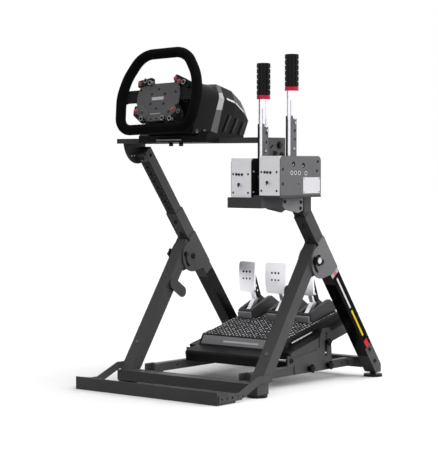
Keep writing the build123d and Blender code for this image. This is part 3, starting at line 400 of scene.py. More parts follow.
def make_tread():
    """Black coated tread plate, rubbed a little lighter where feet go."""
    f = Finish("tread_plate_coat", Specular_IOR_Level=0.04)
    rub = f.band(f.noise(26.0, 5.0, 0.65), 0.42, 0.75)
    fine = f.noise(800.0, 3.0)
    f.set(Base_Color=rub.mix(cool(0.008), cool(0.03)))
    f.set(Roughness=f.band(fine, 0.2, 0.8) * 0.16 + 0.5)
    return f.bump(fine, 0.15, 0.0005)


def make_lug():
    """Raised tread lugs with worn bright tops."""
    f = Finish("worn_tread_lug", Metallic=0.4)
    worn = f.band(f.noise(70.0, 3.0, 0.6), 0.40, 0.56)
    f.set(Base_Color=worn.mix(cool(0.10), cool(0.72)))
    f.set(Roughness=f.band(f.noise(400.0), 0.2, 0.8) * 0.2 + 0.3)
    return f.bump(f.noise(500.0), 0.12, 0.0005)


STRIPE_LOW, STRIPE_HIGH = (511.6, 94.8), (325.4, 340.1)
stripe_mid = ((STRIPE_LOW[0] + STRIPE_HIGH[0]) / 2, (STRIPE_LOW[1] + STRIPE_HIGH[1]) / 2)
STRIPE_L = 300.0
PALE_END = 0.42
# Bars of the film: from and to along it as shares of its length, from and to across it in mm, and colour.
BARS = (
    (0.0, 0.38, -3.4, 3.4, cool(0.62)),
    (-0.36, -0.03, -3.4, 3.4, (0.75, 0.55, 0.02, 1)),
    (PALE_END, 0.48, -6.0, 8.0, (0.62, 0.14, 0.16, 1)),
    (-1.0, -0.42, -8.0, 9.0, (0.58, 0.03, 0.035, 1)),
)


def make_stripes():
    """Printed film on the leg: pale and red end blocks, with white and yellow bars between."""
    f = Finish("striped_leg_film", Specular_IOR_Level=0.02)
    y, z = f.part(1), f.part(2)
    a = REAR_LEAN
    mid = at(0, *stripe_mid)
    run = (z * cos(a) - y * sin(a) - (mid.z * cos(a) - mid.y * sin(a))) * (1 / MM / STRIPE_L)
    across = (y * cos(a) + z * sin(a) - (mid.y * cos(a) + mid.z * sin(a))) * (1 / MM)
    worn = f.band(f.noise(160.0, 4.0), 0.3, 0.6) * 0.12 + 0.88
    colour = (run > PALE_END).mix(cool(0.003), cool(0.42))
    for low, high, left, right, paint in BARS:
        bar = (run > low) * (run < high) * (across > left) * (across < right)
        colour = (bar * worn).mix(colour, paint)
    f.set(Base_Color=colour)
    f.set(Roughness=f.band(f.noise(300.0), 0.2, 0.8) * 0.1 + 0.36)
    return f.bump(f.noise(900.0), 0.08, 0.0004)


suede, band_metal, tread_coat = make_suede(), make_band(), make_tread()
lug_metal, leg_film = make_lug(), make_stripes()

# What each solid is finished in, by its name without the side, or with it where the sides differ: the right
# fold bracket has the paler coat as painted light on its lit side.
NODE_FINISHES = (
    (coat, "rear_leg fold_bracket_left rear_cross_tube front_leg front_cross_tube foot_bar foot_arm "
           "pedal_rail rail_cross_bar tray_side_plate inner_tube wheel_deck lever_post lever_tray"),
    (pale_lit_coat, "fold_bracket_right"),
    (rubber, "rear_foot front_foot inner_grip outer_grip"),
    (black_plastic, "fold_knob wheel_spokes button_box wheel_hub"),
    (leg_black, "pedal_tray clutch_arm brake_arm throttle_arm inner_lever_housing"),
    (pedal_black, "pedal_base"),
    (housing_black, "clutch_housing brake_housing throttle_housing"),
    (face_aluminium, "clutch_pedal brake_pedal throttle_pedal"),
    (shell, "base_foot base_front base_rear"),
    (band_metal, "base_band"),
    (suede, "wheel_rim"),
    (hub_grey, "wheel_plate"),
    (unit_grey, "outer_lever_housing"),
    (unit_aluminium, "inner_lever_face outer_lever_face"),
    (polished, "inner_lever outer_lever"),
)
finish_of = {kind: finish for finish, kinds in NODE_FINISHES for kind in kinds.split()}
for name, node in nodes.items():
    kind = name.removesuffix("_left").removesuffix("_right")
    node.data.materials.clear()
    node.data.materials.append((finish_of.get(name) or finish_of[kind]).material)

# Studio: white world for the camera, and for the object a dome that is bright at the right and above.
DOME_WAY, DOME_SPAN, DOME_LIGHT = Vector((0.80, 0.34, 0.50)), (-0.30, 0.95), (0.05, 2.5)
SOFTBOX, SOFTBOX_AIM, SOFTBOX_SIZE, SOFTBOX_POWER = (600, -3600, 1900), (0, 100, 450), 2.4, 5.0

world = bpy.data.worlds.new("studio")
world.use_nodes = True
bpy.context.scene.world = world
sky = Flow(world.node_tree)
lean = sky.node("VectorMath", {"operation": "DOT_PRODUCT"},
                {0: sky.node("TexCoord", out=0), 1: DOME_WAY.normalized()}, out=1)
dome = sky.node("MapRange", {"interpolation_type": "SMOOTHSTEP"},
                {0: lean, 1: DOME_SPAN[0], 2: DOME_SPAN[1], 3: DOME_LIGHT[0], 4: DOME_LIGHT[1]})
in_view = sky.seen()
strength = in_view + (1 - in_view) * dome
background = next(n for n in world.node_tree.nodes if n.type == "BACKGROUND")
background.inputs["Color"].default_value = grey(1.0)
world.node_tree.links.new(strength.socket, background.inputs["Strength"])

softbox = bpy.data.lights.new("front_softbox", "AREA")
softbox.shape, softbox.size, softbox.energy = "DISK", SOFTBOX_SIZE, SOFTBOX_POWER
light = bpy.data.objects.new("front_softbox", softbox)
light.location = at(*SOFTBOX)
light.rotation_euler = (at(*SOFTBOX_AIM) - at(*SOFTBOX)).to_track_quat("-Z", "Y").to_euler()
bpy.context.scene.collection.objects.link(light)
light.visible_camera = False


def clear():
    """Leaves edit mode and selects nothing."""
    if bpy.context.mode != "OBJECT":
        bpy.ops.object.mode_set(mode="OBJECT")
    bpy.ops.object.select_all(action="DESELECT")


def only(obj):
    clear()
    bpy.context.view_layer.objects.active = obj
    obj.select_set(True)
    return obj


# Floor: pale paper where it shows, and dim to the light that it would throw up at the object.
FLOOR_SIZE, PAPER, PAPER_DIM, PAPER_LIFT = 40.0, (0.80, 0.84), 0.10, 0.05
clear()
bpy.ops.mesh.primitive_plane_add(size=FLOOR_SIZE)
floor = bpy.context.object
floor.name = "studio_floor"
paper = Finish("pale_floor_paper", Roughness=0.9, Specular_IOR_Level=0.1, Emission_Strength=1.0)
shown = paper.flow.seen()
cloud = paper.band(paper.noise(3.0), 0.2, 0.8).mix(grey(PAPER[0]), grey(PAPER[1]))
paper.set(Base_Color=shown.mix(grey(PAPER_DIM), cloud))
lift = shown * PAPER_LIFT
paper.set(Emission_Color=paper.flow.node("CombineXYZ", None, {0: lift, 1: lift, 2: lift}))
floor.data.materials.append(paper.material)
floor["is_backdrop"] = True


def pick(obj, test, kind="FACE"):
    """Edit mode on obj, with the faces or edges selected that the test takes."""
    only(obj)
    bpy.ops.object.mode_set(mode="EDIT")
    bpy.ops.mesh.select_mode(type=kind)
    bpy.ops.mesh.select_all(action="DESELECT")
    mesh = bmesh.from_edit_mesh(obj.data)
    for part in mesh.faces if kind == "FACE" else mesh.edges:
        part.select_set(bool(test(part)))
    mesh.select_flush_mode()
    bmesh.update_edit_mesh(obj.data)


def upright(f):
    """True for a face that stands round the sides of a piece."""
    return abs(f.normal.z) < 0.1


def top_faces(obj):
    high = max(v.co.z for v in obj.data.vertices)
    return lambda f: f.normal.z > 0.9 and f.calc_center_median().z > high - 1e-5


def draw_out(x, y, z):
    """Extrudes the selected faces by some mm."""
    bpy.ops.mesh.extrude_region_move(TRANSFORM_OT_translate={"value": (x * MM, y * MM, z * MM)})


def outward(obj):
    """Points every face outwards."""
    pick(obj, lambda f: True)
    bpy.ops.mesh.normals_make_consistent(inside=False)
    clear()
    return obj


def modify(obj, kind, **settings):
    only(obj)
    modifier = obj.modifiers.new(kind.lower(), kind)
    for key, value in settings.items():
        setattr(modifier, key, value)
    bpy.ops.object.modifier_apply(modifier=modifier.name)
    return obj


def shade(obj, angle=38.0):
    only(obj)
    bpy.ops.object.shade_smooth_by_angle(angle=radians(angle))
    return obj


def soften(obj, width, segments=2, angle=30.0):
    """Rounds the sharp edges and shades the rest smooth."""
    modify(obj, "BEVEL", width=width * MM, segments=segments, limit_method="ANGLE",
           angle_limit=radians(angle), use_clamp_overlap=True)
    return shade(obj)


def ease(obj, width):
    """Takes the sharp edges off with one narrow face."""
    return soften(obj, width, 1)


def settle():
    """The new primitive with its place and size in its mesh."""
    bpy.ops.object.transform_apply(location=True, rotation=True, scale=True)
    return bpy.context.object


def disc(r, h, sides=32, z=0.0):
    clear()
    bpy.ops.mesh.primitive_cylinder_add(vertices=sides, radius=r * MM, depth=h * MM,
                                        location=(0, 0, (z + h / 2) * MM))
    return settle()


def slab(w, d, h, corner=0.0, z=0.0):
    """Flat block on the local plane with rounded upright corners."""
    clear()
    bpy.ops.mesh.primitive_cube_add(size=1.0, location=(0, 0, (z + h / 2) * MM),
                                    scale=(w * MM, d * MM, h * MM))
    obj = settle()
    if corner:
        pick(obj, lambda e: abs(e.verts[0].co.z - e.verts[1].co.z) > h * MM / 2, "EDGE")
        bpy.ops.mesh.bevel(offset=corner * MM, segments=5, affect="EDGES")
        clear()
    return obj


def flat_plate(outline, t):
    """Plate with the given outline on the local plane."""
    clear()
    bpy.ops.mesh.primitive_circle_add(vertices=len(outline), fill_type="NGON")
    plate = bpy.context.object
    for vertex, (u, v) in zip(plate.data.vertices, outline):
        vertex.co = (u * MM, v * MM, 0)
    pick(plate, lambda f: True)
    draw_out(0, 0, t)
    return outward(plate)


def sink(obj, margin, depth):
    """A recess in the top, kept in from its edge."""
    pick(obj, top_faces(obj))
    bpy.ops.mesh.inset(thickness=margin * MM, depth=0.0)
    draw_out(0, 0, -depth)
    clear()
    return obj


def dome_top(obj, margin, rise):
    """Draws the top in and up, as on a button head."""
    pick(obj, top_faces(obj))
    bpy.ops.mesh.inset(thickness=margin * MM, depth=rise * MM)
    clear()
    return obj


def carve(obj, tool):
    """Takes the tool's shape out of the piece."""
    modify(obj, "BOOLEAN", object=tool, operation="DIFFERENCE", solver="EXACT")
    bpy.data.objects.remove(tool)
    return obj


def moved(obj, matrix):
    obj.data.transform(matrix)
    return obj


def merge(parts):
    """Several modelled parts as one piece."""
    only(parts[0])
    for part in parts[1:]:
        part.select_set(True)
    if len(parts) > 1:
        bpy.ops.object.join()
    return parts[0]


def spread(model, places):
    """Copies of one modelled piece, each with its own mesh, joined as one group."""
    made = []
    for m in places:
        copy = model.copy()
        copy.data = model.data.copy()
        copy.data.transform(m)
        bpy.context.scene.collection.objects.link(copy)
        made.append(copy)
    bpy.data.objects.remove(model)
    return merge(made)


def pockets(places, r, depth):
    """Short rods that cut round pockets or holes into a plate."""
    return spread(disc(r, 2 * depth, 24, z=-depth), places)


def wear(obj, name, body, finish):
    """Names the piece, gives it its finish and lets it ride on a body."""
    obj.name = obj.data.name = name
    obj.data.materials.clear()
    obj.data.materials.append(finish.material)
    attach(obj, body)
    return obj


def fit(name, model, places, body, finish):
    """Copies of a model at several places, worn as one piece."""
    return wear(spread(model, places), name, body, finish)


def fit_wheel(name, model, spots, z, finish):
    """Copies of a model on the wheel, at spots given by u and v."""
    return fit(name, model, [wheel(u, v, z) for u, v in spots], "steering_wheel", finish)


def lay(name, size, bevel, where, body, finish, slot, segments=1):
    """A block with rounded edges at one place."""
    return wear(moved(soften(slab(*size), bevel, segments), where), name, body, finish)


def steps(start, stop, step):
    """Values a step apart, from the start up or down to before the stop."""
    values = []
    while (stop - start) * step > 0:
        values.append(start)
        start += step
    return values


def cap_screw(r, h):
    """Round head with a hexagon socket."""
    head = dome_top(disc(r, h * 0.7, 24), r * 0.3, h * 0.3)
    carve(head, disc(r * 0.5, h, 6, z=h * 0.45))
    return ease(head, r * 0.08)


def hex_bolt(r, h):
    """Hexagon head on a thin washer."""
    head = ease(disc(r, h, 6, z=1.0), r * 0.12)
    return merge([head, ease(disc(r * 1.35, 1.0, 24), 0.2)])


def star_knob(r, h, lobes=5):
    """Lobed hand knob with a hub."""
    knob = disc(r, h, lobes * 6, z=6.0)
    pick(knob, lambda f: upright(f) and cos(lobes * Vector((1, 0)).angle_signed(f.normal.xy)) < 0.1)
    bpy.ops.transform.resize(value=(0.74, 0.74, 1.0), center_override=(0, 0, 0))
    clear()
    soften(knob, 1.6, 3, 25.0)
    return merge([knob, soften(disc(r * 0.55, 7.0, 24), 0.6)])


def push_button(r, h):
    """Domed button cap."""
    cap = dome_top(disc(r, h, 28), r * 0.35, r * 0.22)
    return soften(dome_top(cap, r * 0.3, r * 0.08), r * 0.08)


def rotary(r, h, ribs=18):
    """Knob with a ribbed skirt and a stepped top."""
    knob = disc(r, h, ribs * 2)

    def alternate(f):
        around = Vector((1, 0)).angle_signed(f.normal.xy) % (2 * pi)
        return round(around / (pi / ribs) - 0.5) % 2 == 0

    pick(knob, lambda f: upright(f) and alternate(f))
    bpy.ops.mesh.inset(use_individual=True, thickness=r * 0.02 * MM, depth=-r * 0.07 * MM)
    clear()
    dome_top(knob, r * 0.22, 0.0)
    pick(knob, top_faces(knob))
    draw_out(0, 0, h * 0.22)
    bpy.ops.mesh.inset(thickness=r * 0.12 * MM, depth=0.0)
    clear()
    return soften(knob, 0.25, 1, 40.0)


# Rim: suede over padding, with a seam and its stitches round the inside.
RIM_STEP, RIM_RINGS = 5.0, 7
SEAM_R, SEAM_SUNK = 0.7, 0.1
STITCH_R, STITCH_L, STITCH_STEP, STITCH_PROUD, STITCH_LEAN = 0.45, 3.4, 5.6, 0.15, 0.9


def rim_line(inward, step):
    """Points round the rim's loop of straights and arcs, a step apart and drawn in by some mm."""
    points = []
    for i, (u, v, r) in enumerate(RIM_CORNERS):
        corner = Vector((u, v))
        a = (Vector(RIM_CORNERS[i - 1][:2]) - corner).normalized()
        b = (Vector(RIM_CORNERS[(i + 1) % len(RIM_CORNERS)][:2]) - corner).normalized()
        half = a.angle(b) / 2
        centre = corner + (a + b).normalized() * (r / sin(half))
        arm = (corner + a * (r / tan(half)) - centre) * ((r - inward) / r)
        sweep = pi - 2 * half
        parts = max(2, round(r * sweep / step))
        for k in range(parts + 1):
            points.append(centre + Matrix.Rotation(sweep * k / parts, 2) @ arm)
    line = []
    for here, ahead in zip(points, points[1:] + points[:1]):
        parts = max(1, round((ahead - here).length / step))
        line += [here.lerp(ahead, k / parts) for k in range(parts)]
    return [Vector((p.x * MM, p.y * MM, 0)) for p in line]


def loop_tube(radius, inward, rings):
    """A round tube along the rim's loop, in its place on the wheel."""
    line = rim_line(inward, RIM_STEP)
    clear()
    bpy.ops.mesh.primitive_circle_add(vertices=len(line))
    ring = bpy.context.object
    for vertex, point in zip(ring.data.vertices, line):
        vertex.co = point
    only(ring)
    bpy.ops.object.convert(target="CURVE")
    ring = bpy.context.object
    ring.data.bevel_depth = radius * MM
    ring.data.bevel_resolution = rings
    bpy.ops.object.convert(target="MESH")
    return moved(shade(bpy.context.object, 60.0), wheel(0, 0, 0))


rim = wear(loop_tube(RIM_R, 0.0, RIM_RINGS), "suede_rim", "steering_wheel", suede)
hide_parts("wheel_rim")
wear(loop_tube(SEAM_R, RIM_R - SEAM_SUNK, 1), "rim_seam", "steering_wheel", black_plastic)
stitch_line = rim_line(RIM_R + STITCH_PROUD, STITCH_STEP)
stitch_places = []
for i, (here, ahead) in enumerate(zip(stitch_line, stitch_line[1:] + stitch_line[:1])):
    way = (ahead - here).normalized()
    slant = (way + Z * (STITCH_LEAN if i % 2 else -STITCH_LEAN)).normalized()
    stitch_places.append(wheel(0, 0, 0) @ place(here, slant, Z.cross(way)))
stitch = ease(disc(STITCH_R, STITCH_L, 6, z=-STITCH_L / 2), 0.2)
fit("rim_stitches", stitch, stitch_places, "steering_wheel", black_plastic)

# Hub plate: bolts, light bar, bare plate and lower strip.
HUB_BOLTS, HUB_BOLT_RING, HUB_BOLT_START, HUB_BOLT_DOWN = 6, 27.5, 88.0, 4.0
PLATE_BOLTS, STRIP_SCREWS = [(-65, 24), (62, 13)], ((-15, -60), (5, -60))
HUB_SCREW, STRIP_SCREW, STRIP_FRONT = (3.2, 1.8), (2.6, 1.6), 3.0
# Size, width and segments of the rounding, place, finish and slot.
HUB_TRIM = (
    ("hub_light_bar", (41, 1.8, 0.8, 0.8), 0.2, 1, (-1, -46.5, PLATE_FRONT), light_strip, "bare_aluminium"),
    ("bare_hub_plate", (42, 9, 0.6, 2.0), 0.2, 1, (0, -3, PLATE_FRONT), light_strip, "hub_grey"),
    ("lower_strip", (62, 12, 5.5, 4.0), 0.8, 2, (-4, -60, -2.5), hub_grey, "hub_grey"),
)

hub_spots = []
for i in range(HUB_BOLTS):
    a = radians(HUB_BOLT_START + 360 / HUB_BOLTS * i)
    hub_spots.append((HUB_BOLT_RING * cos(a), HUB_BOLT_RING * sin(a) - HUB_BOLT_DOWN))
fit_wheel("hub_bolts", cap_screw(*HUB_SCREW), hub_spots + PLATE_BOLTS, PLATE_FRONT, oxide)
for name, block, bevel, segments, spot, finish, slot in HUB_TRIM:
    lay(name, block, bevel, wheel(*spot), "steering_wheel", finish, slot, segments)
fit_wheel("strip_screws", cap_screw(*STRIP_SCREW), STRIP_SCREWS, STRIP_FRONT, oxide)

# Button modules and lower covers: place, turn and size.
MODULES = (
    ("upper_left", -53, 45, 8, 54, 21, 10.0, 6.0),
    ("upper_right", 80, 42, -24, 62, 20, 10.0, 6.0),
    ("lower_left", -58, -48, -36, 48, 28, 9.0, 6.0),
    ("lower_right", 58, -50, 34, 62, 32, 9.0, 6.0),
)
LOWER_COVERS = (("left", -49, -40, -38, 46, 30, 4.0, 9.0), ("right", 45, -43, 36, 54, 32, 4.0, 9.0))
MODULE_BACK, MODULE_TOP, COVER_BACK = -6.5, 3.0, 0.6
for name, u, v, angle, *size in MODULES:
    cover = soften(dome_top(slab(*size), 2.0, 0.8), 0.7)
    moved(cover, wheel(u, v, MODULE_BACK) @ turn(angle))
    wear(cover, name + "_module", "steering_wheel", black_plastic)
for side_name, u, v, angle, *size in LOWER_COVERS:
    m = wheel(u, v, COVER_BACK) @ turn(angle)
    lay(side_name + "_lower_cover", size, 0.9, m, "steering_wheel", hub_grey, "hub_grey", 2)

# Caps, collars and dials on the modules.
RED_SPOTS = ((-70, 43), (57, 50), (71, 42), (-72, -37), (61, -38))
BLACK_SPOTS = ((-51, -41), (47, -43), (81, -43))
DIAL_SPOTS = ((-46, 48), (-29, 41.5), (93, 36), (-44, -61), (33, -62), (60, -65))
RED_CAP, BLACK_CAP, DIAL, DIAL_CAP = (4.6, 5.5), (5.0, 5.0), (7.0, 8.0), (4.4, 1.2)
DIAL_TOP = MODULE_TOP + 9.4
COLLAR, COLLAR_BORE = (6.4, 2.4, 28), (5.1, 4.0, 28, -0.5)
fit_wheel("red_buttons", push_button(*RED_CAP), RED_SPOTS, MODULE_TOP, red_button)
collar = ease(carve(disc(*COLLAR), disc(*COLLAR_BORE)), 0.3)
fit_wheel("button_collars", collar, RED_SPOTS + BLACK_SPOTS, MODULE_TOP, dark_chrome)
fit_wheel("black_buttons", push_button(*BLACK_CAP), BLACK_SPOTS, MODULE_TOP, teal_button)
fit_wheel("rotary_knobs", rotary(*DIAL), DIAL_SPOTS, MODULE_TOP, dark_chrome)
fit_wheel("rotary_caps", push_button(*DIAL_CAP), DIAL_SPOTS, DIAL_TOP, black_plastic)

# Shift paddles behind the spokes, with their tips and stalks.
PADDLE, PADDLE_AT, PADDLE_BEND = (58, 40, 3.0, 9.0), (82, 14, -34), (12, 6)
TIP, TIP_AT, TIP_TURN = (12, 22, 5.0, 4.0), (103, -22, -30), 12
STALK, STALK_SPOTS, STALK_BACK = (36, 10, 10, 3.0), ((-50, 14), (50, 14)), -35
paddles, tip_places = [], []
for sx in (-1, 1):
    paddle = slab(*PADDLE)
    pick(paddle, lambda f: f.normal.x * sx > 0.9)
    draw_out(sx * PADDLE_BEND[0], 0, PADDLE_BEND[1])
    clear()
    paddles.append(moved(soften(paddle, 0.8), wheel(sx * PADDLE_AT[0], *PADDLE_AT[1:])))
    tip_places.append(wheel(sx * TIP_AT[0], *TIP_AT[1:]) @ turn(sx * TIP_TURN))
wear(merge(paddles), "shift_paddles", "steering_wheel", steel)
fit("paddle_tips", soften(slab(*TIP), 1.0), tip_places, "steering_wheel", steel)
fit_wheel("paddle_stalks", soften(slab(*STALK), 0.6), STALK_SPOTS, STALK_BACK, black_plastic)

# Wheel base: ribs beside the vents, screw bosses, and a bare front panel with its line.
VENTS = ((22, 18, 52), (57, 14, 47), (92, 10, 42))  # start, height above the deck, length
VENT_SIDE, VENT_LEAN, RIB, RIB_BACK = 97.0, 32.0, (9, 56, 2.2, 3.5), 9.5
BOSSES = ((92.0, -82, 729), (96.2, -54, 729))
FOOT_PANEL, FOOT_LINE = (92, 14, 2.4, 2.0), (92, 5, 0.4, 1.5)
rib_places = []
for y, up, length in VENTS:
    y += RIB_BACK + length / 2 * sin(radians(VENT_LEAN))
    z = DECK_TOP + up + length / 2 * cos(radians(VENT_LEAN))
    shorter = Matrix.Diagonal((1, length / VENTS[0][2], 1, 1))
    rib_places += [m @ shorter for m in both_sides(VENT_SIDE, [(y, z)], -VENT_LEAN)]
fit("vent_ribs", soften(slab(*RIB), 0.9), rib_places, "deck", pedal_black)
boss_places = [m for x, *spot in BOSSES for m in both_sides(x, [spot])]
boss = soften(sink(disc(6.0, 2.6, 28), 1.8, 1.2), 0.4)
fit("base_bosses", boss, boss_places, "deck", dark_chrome)
lay("foot_panel", FOOT_PANEL, 0.5, front_face(-12, -78.0, 706), "deck", panel_black, "base_plastic", 2)
line_place = front_face(-10, -80.4, 706) @ turn(0.5)
lay("foot_line", FOOT_LINE, 0.1, line_place, "deck", panel_grey, "bare_aluminium")

# Sloped facets of the base: gloss panels, and a bare pale strip along the foot of the first two.
FACETS = ((98, 38, 168.0), (98, 38, 213.8), (94, 23, 265.0), (90, 8, 293.0))  # x, up and back of each corner
FACET_IN, FACET_UP, FACET_GAP, FACET_T = 24.0, 40.0, 1.0, 0.5
STRIPS, STRIP_W, STRIP_UP, STRIP_T = ((8.0, 44.0), (3.0, 50.0)), 6.6, 6.0, 0.4


def base_point(x, up, back):
    """A point of the wheel base, up off its axis and back from the rim."""
    t = WHEEL_TILT
    return at(x, WHEEL[0] + back * cos(t) + up * sin(t), WHEEL[1] - back * sin(t) + up * cos(t))


def skewed(corner, along, up, out_x):
    """Place whose x runs along one edge and y up the other, not always square, facing out at one side."""
    a, b = (along - corner).normalized(), (up - corner).normalized()
    out = a.cross(b).normalized()
    if out.x * out_x < 0:
        out = -out
    m = Matrix((a, b, out)).transposed().to_4x4()
    m.translation = corner
    return m


panels, strips = [], []
for sx in (-1, 1):
    facet_places = []
    for (x, up, back), end in zip(FACETS, FACETS[1:]):
        corner, far = base_point(sx * x, up, back), base_point(sx * end[0], *end[1:])
        high = base_point(sx * (x - FACET_IN), up + FACET_UP, back)
        w, d = (far - corner).length / MM, (high - corner).length / MM
        m = skewed(corner, far, high, sx)
        panel = ease(slab(w - FACET_GAP, d - 2 * FACET_GAP, FACET_T), 0.15)
        panels.append(outward(moved(panel, m @ shift(w / 2, d / 2, 0))))
        facet_places.append(m)
    for (start, stop), m in zip(STRIPS, facet_places):
        strip = ease(slab(stop - start, STRIP_W, STRIP_T, 0.8), 0.1)
        strips.append(outward(moved(strip, m @ shift((start + stop) / 2, STRIP_UP, FACET_T))))
wear(merge(panels), "facet_panels", "deck", panel_black)
wear(merge(strips), "facet_strips", "deck", light_strip)

# Deck: rivets and bolts of the tilt flanges, black slabs that paint the shade of their slots, and clamp bolts
# below.
FLANGE_OUT, FLANGE_IN = 261.0, 258.0
FLANGE_BOLTS, FLANGE_RIVETS = ((81.8, 664.7), (51, 669)), ((39.5, 664), (50, 664))
LOCK_BOLT, FLANGE_SLOT, SLOT_TURN = (72, 691), (37, 687), 35
CLAMP_BOLTS = ((-28, -50, 13), (9, -50, 13), (-44, 70, 3), (44, 70, 3))  # x, y and depth below the deck's top
rivet = ease(dome_top(disc(3.0, 1.2, 20), 0.8, 0.6), 0.2)
fit("flange_rivets", rivet, both_sides(-FLANGE_IN, FLANGE_RIVETS), "deck", steel)
fit("lock_bolts", hex_bolt(8.5, 5.5), both_sides(FLANGE_OUT, [LOCK_BOLT]), "deck", oxide)
# Black slabs where the flanges' slots are: painted shade of the slots.
slot_shade_places = both_sides(FLANGE_OUT, [FLANGE_SLOT], SLOT_TURN)
fit("flange_slot_shade", ease(slab(17, 5, 0.5, 2.4), 0.15), slot_shade_places, "deck", panel_black)
fit("flange_bolts", cap_screw(7.5, 5.0), both_sides(FLANGE_OUT, FLANGE_BOLTS), "deck", oxide)
below = [place(at(x, y, DECK_TOP - down), -Z, Y) for x, y, down in CLAMP_BOLTS]
fit("clamp_bolts", hex_bolt(6.5, 9.0), below, "deck", oxide)

# Legs: bolts in the tubes and at the fold brackets, fold knobs with their discs, and index buttons.
n_front, n_lead = REAR_OFFSET - TUBE_D / 2, FRONT_OFFSET - TUBE_D / 2
HEIGHT_BOLTS, CROSS_TUBE_BOLTS = (240.0, 195.0), ((520, 87), (547, 50))
BRACKET_OUT, BRACKET_IN, KNOB_OUT, NUT_IN = 264.0, 216.0, 264.5, 216.4
FOLD_KNOB, KNOB_DISC = (17.0, 9.5), (9.0, 2.0, 32, 15.5)
BUTTON_X, BUTTON_UP = 241, 119.0
height_places = [rear_leg(sx * LEG_X, s, n_front) for sx in (-1, 1) for s in HEIGHT_BOLTS]
fit("height_bolts", cap_screw(6.0, 4.0), height_places, "rear_frame", oxide)
pivot_places = both_sides(BRACKET_OUT, [PIVOT]) + both_sides(-BRACKET_IN, [PIVOT])
fit("pivot_bolts", cap_screw(8.5, 5.0), pivot_places, "rear_frame", oxide)
cross_places = both_sides(LEG_OUT, CROSS_TUBE_BOLTS)
fit("cross_tube_bolts", cap_screw(6.0, 3.6), cross_places, "rear_frame", oxide)
for (_, side_name), m in zip(SIDES, both_sides(KNOB_OUT, [STUD])):
    knob = moved(star_knob(*FOLD_KNOB), m)
    wear(knob, side_name + "_fold_knob", "front_frame", black_plastic)
    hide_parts("fold_knob_" + side_name)
    boss = moved(soften(dome_top(disc(*KNOB_DISC), 3.0, 2.0), 0.5), m)
    wear(boss, side_name + "_knob_disc", "front_frame", steel)
fit("stud_nuts", hex_bolt(7.0, 5.0), both_sides(-NUT_IN, [STUD]), "front_frame", oxide)
button_places = [front_leg(sx * BUTTON_X, BUTTON_UP, n_lead) for sx in (-1, 1)]
leg_button = sink(disc(5.5, 2.0, 28), 1.4, 0.8)
fit("leg_buttons", leg_button, button_places, "front_frame", pale_lit_coat)

# Films: printed stripes outside the right rear leg, and plain black films on the rear legs' fronts and inside
# the left one that are painted shade.
# Spans along the legs of the plain black films that paint shade, and widths of the side and front films.
SIDE_FILM, FRONT_SHADE_FILM = (-291.0, 36.0), (-258.0, 22.0)
SIDE_FILM_W, FRONT_SHADE_FILM_W = TUBE_D - 0.6, 39.0


def film(w, length):
    return shade(slab(w, length, 0.35, 0.6))


leg_up = Vector((0, -sin(REAR_LEAN), cos(REAR_LEAN)))
striped = moved(film(SIDE_FILM_W, STRIPE_L), place(at(LEG_OUT, *stripe_mid), X, leg_up))
wear(striped, "leg_film", "rear_frame", leg_film)
# Painted shade: plain black films inside the left rear leg and on both rear legs' fronts.
side_shade_film = film(SIDE_FILM_W, SIDE_FILM[1] - SIDE_FILM[0])
moved(side_shade_film, rear_leg(-LEG_IN, sum(SIDE_FILM) / 2, REAR_OFFSET, X))
front_shade_film = film(FRONT_SHADE_FILM_W, FRONT_SHADE_FILM[1] - FRONT_SHADE_FILM[0])
front_shade_films = spread(front_shade_film, both_rear_legs(sum(FRONT_SHADE_FILM) / 2, n_front))
wear(merge([side_shade_film, front_shade_films]), "painted_shade_leg_films", "rear_frame", panel_black)

# Uprights: perforated strip down the front, and a bolted block at the top.
INNER_FRONT, INNER_HIGH, LEG_TOP, INDEX_PITCH = REAR_OFFSET - 15.5, 500.0, 272.4, 26.0
INDEX_W, INDEX_T, INDEX_LOW, INDEX_HIGH = 33.0, 0.4, LEG_TOP + 2, INNER_HIGH - 32
HOLE_R, HOLE_CUT, RIM_COLUMNS = 4.6, 2.0, (-10, 10)
BLOCK, BLOCK_UP = (32, 26, 4.0, 5.0), INNER_HIGH - 16
hole_rows = steps(INNER_HIGH - 2 * INDEX_PITCH, INDEX_LOW + 6, -INDEX_PITCH)
rim_rows = steps(INDEX_LOW + 8, INDEX_HIGH - 4, INDEX_PITCH / 2)
for sx, side_name in SIDES:
    strip = slab(INDEX_W, INDEX_HIGH - INDEX_LOW, INDEX_T, 1.0)
    moved(strip, rear_leg(sx * LEG_X, (INDEX_LOW + INDEX_HIGH) / 2, INNER_FRONT))
    carve(strip, pockets([rear_leg(sx * LEG_X, s, INNER_FRONT) for s in hole_rows], HOLE_R, HOLE_CUT))
    wear(shade(strip), side_name + "_index_strip", "uprights", panel_black)
    # The hole rims are in the paler coat as a painted highlight.
    rim_places = [rear_leg(sx * LEG_X + u, s, INNER_FRONT - INDEX_T) for s in rim_rows for u in RIM_COLUMNS]
    highlit_hole_rim = ease(sink(disc(2.6, 0.8, 16), 0.8, 0.7), 0.2)
    fit(side_name + "_strip_rims", highlit_hole_rim, rim_places, "uprights", pale_lit_coat)
block_places = both_rear_legs(BLOCK_UP, INNER_FRONT)
fit("pivot_blocks", soften(slab(*BLOCK), 0.8), block_places, "uprights", pale_lit_coat)
bolt_places = both_rear_legs(BLOCK_UP, INNER_FRONT - BLOCK[2])
fit("block_bolts", cap_screw(7.5, 5.0), bolt_places, "uprights", oxide)

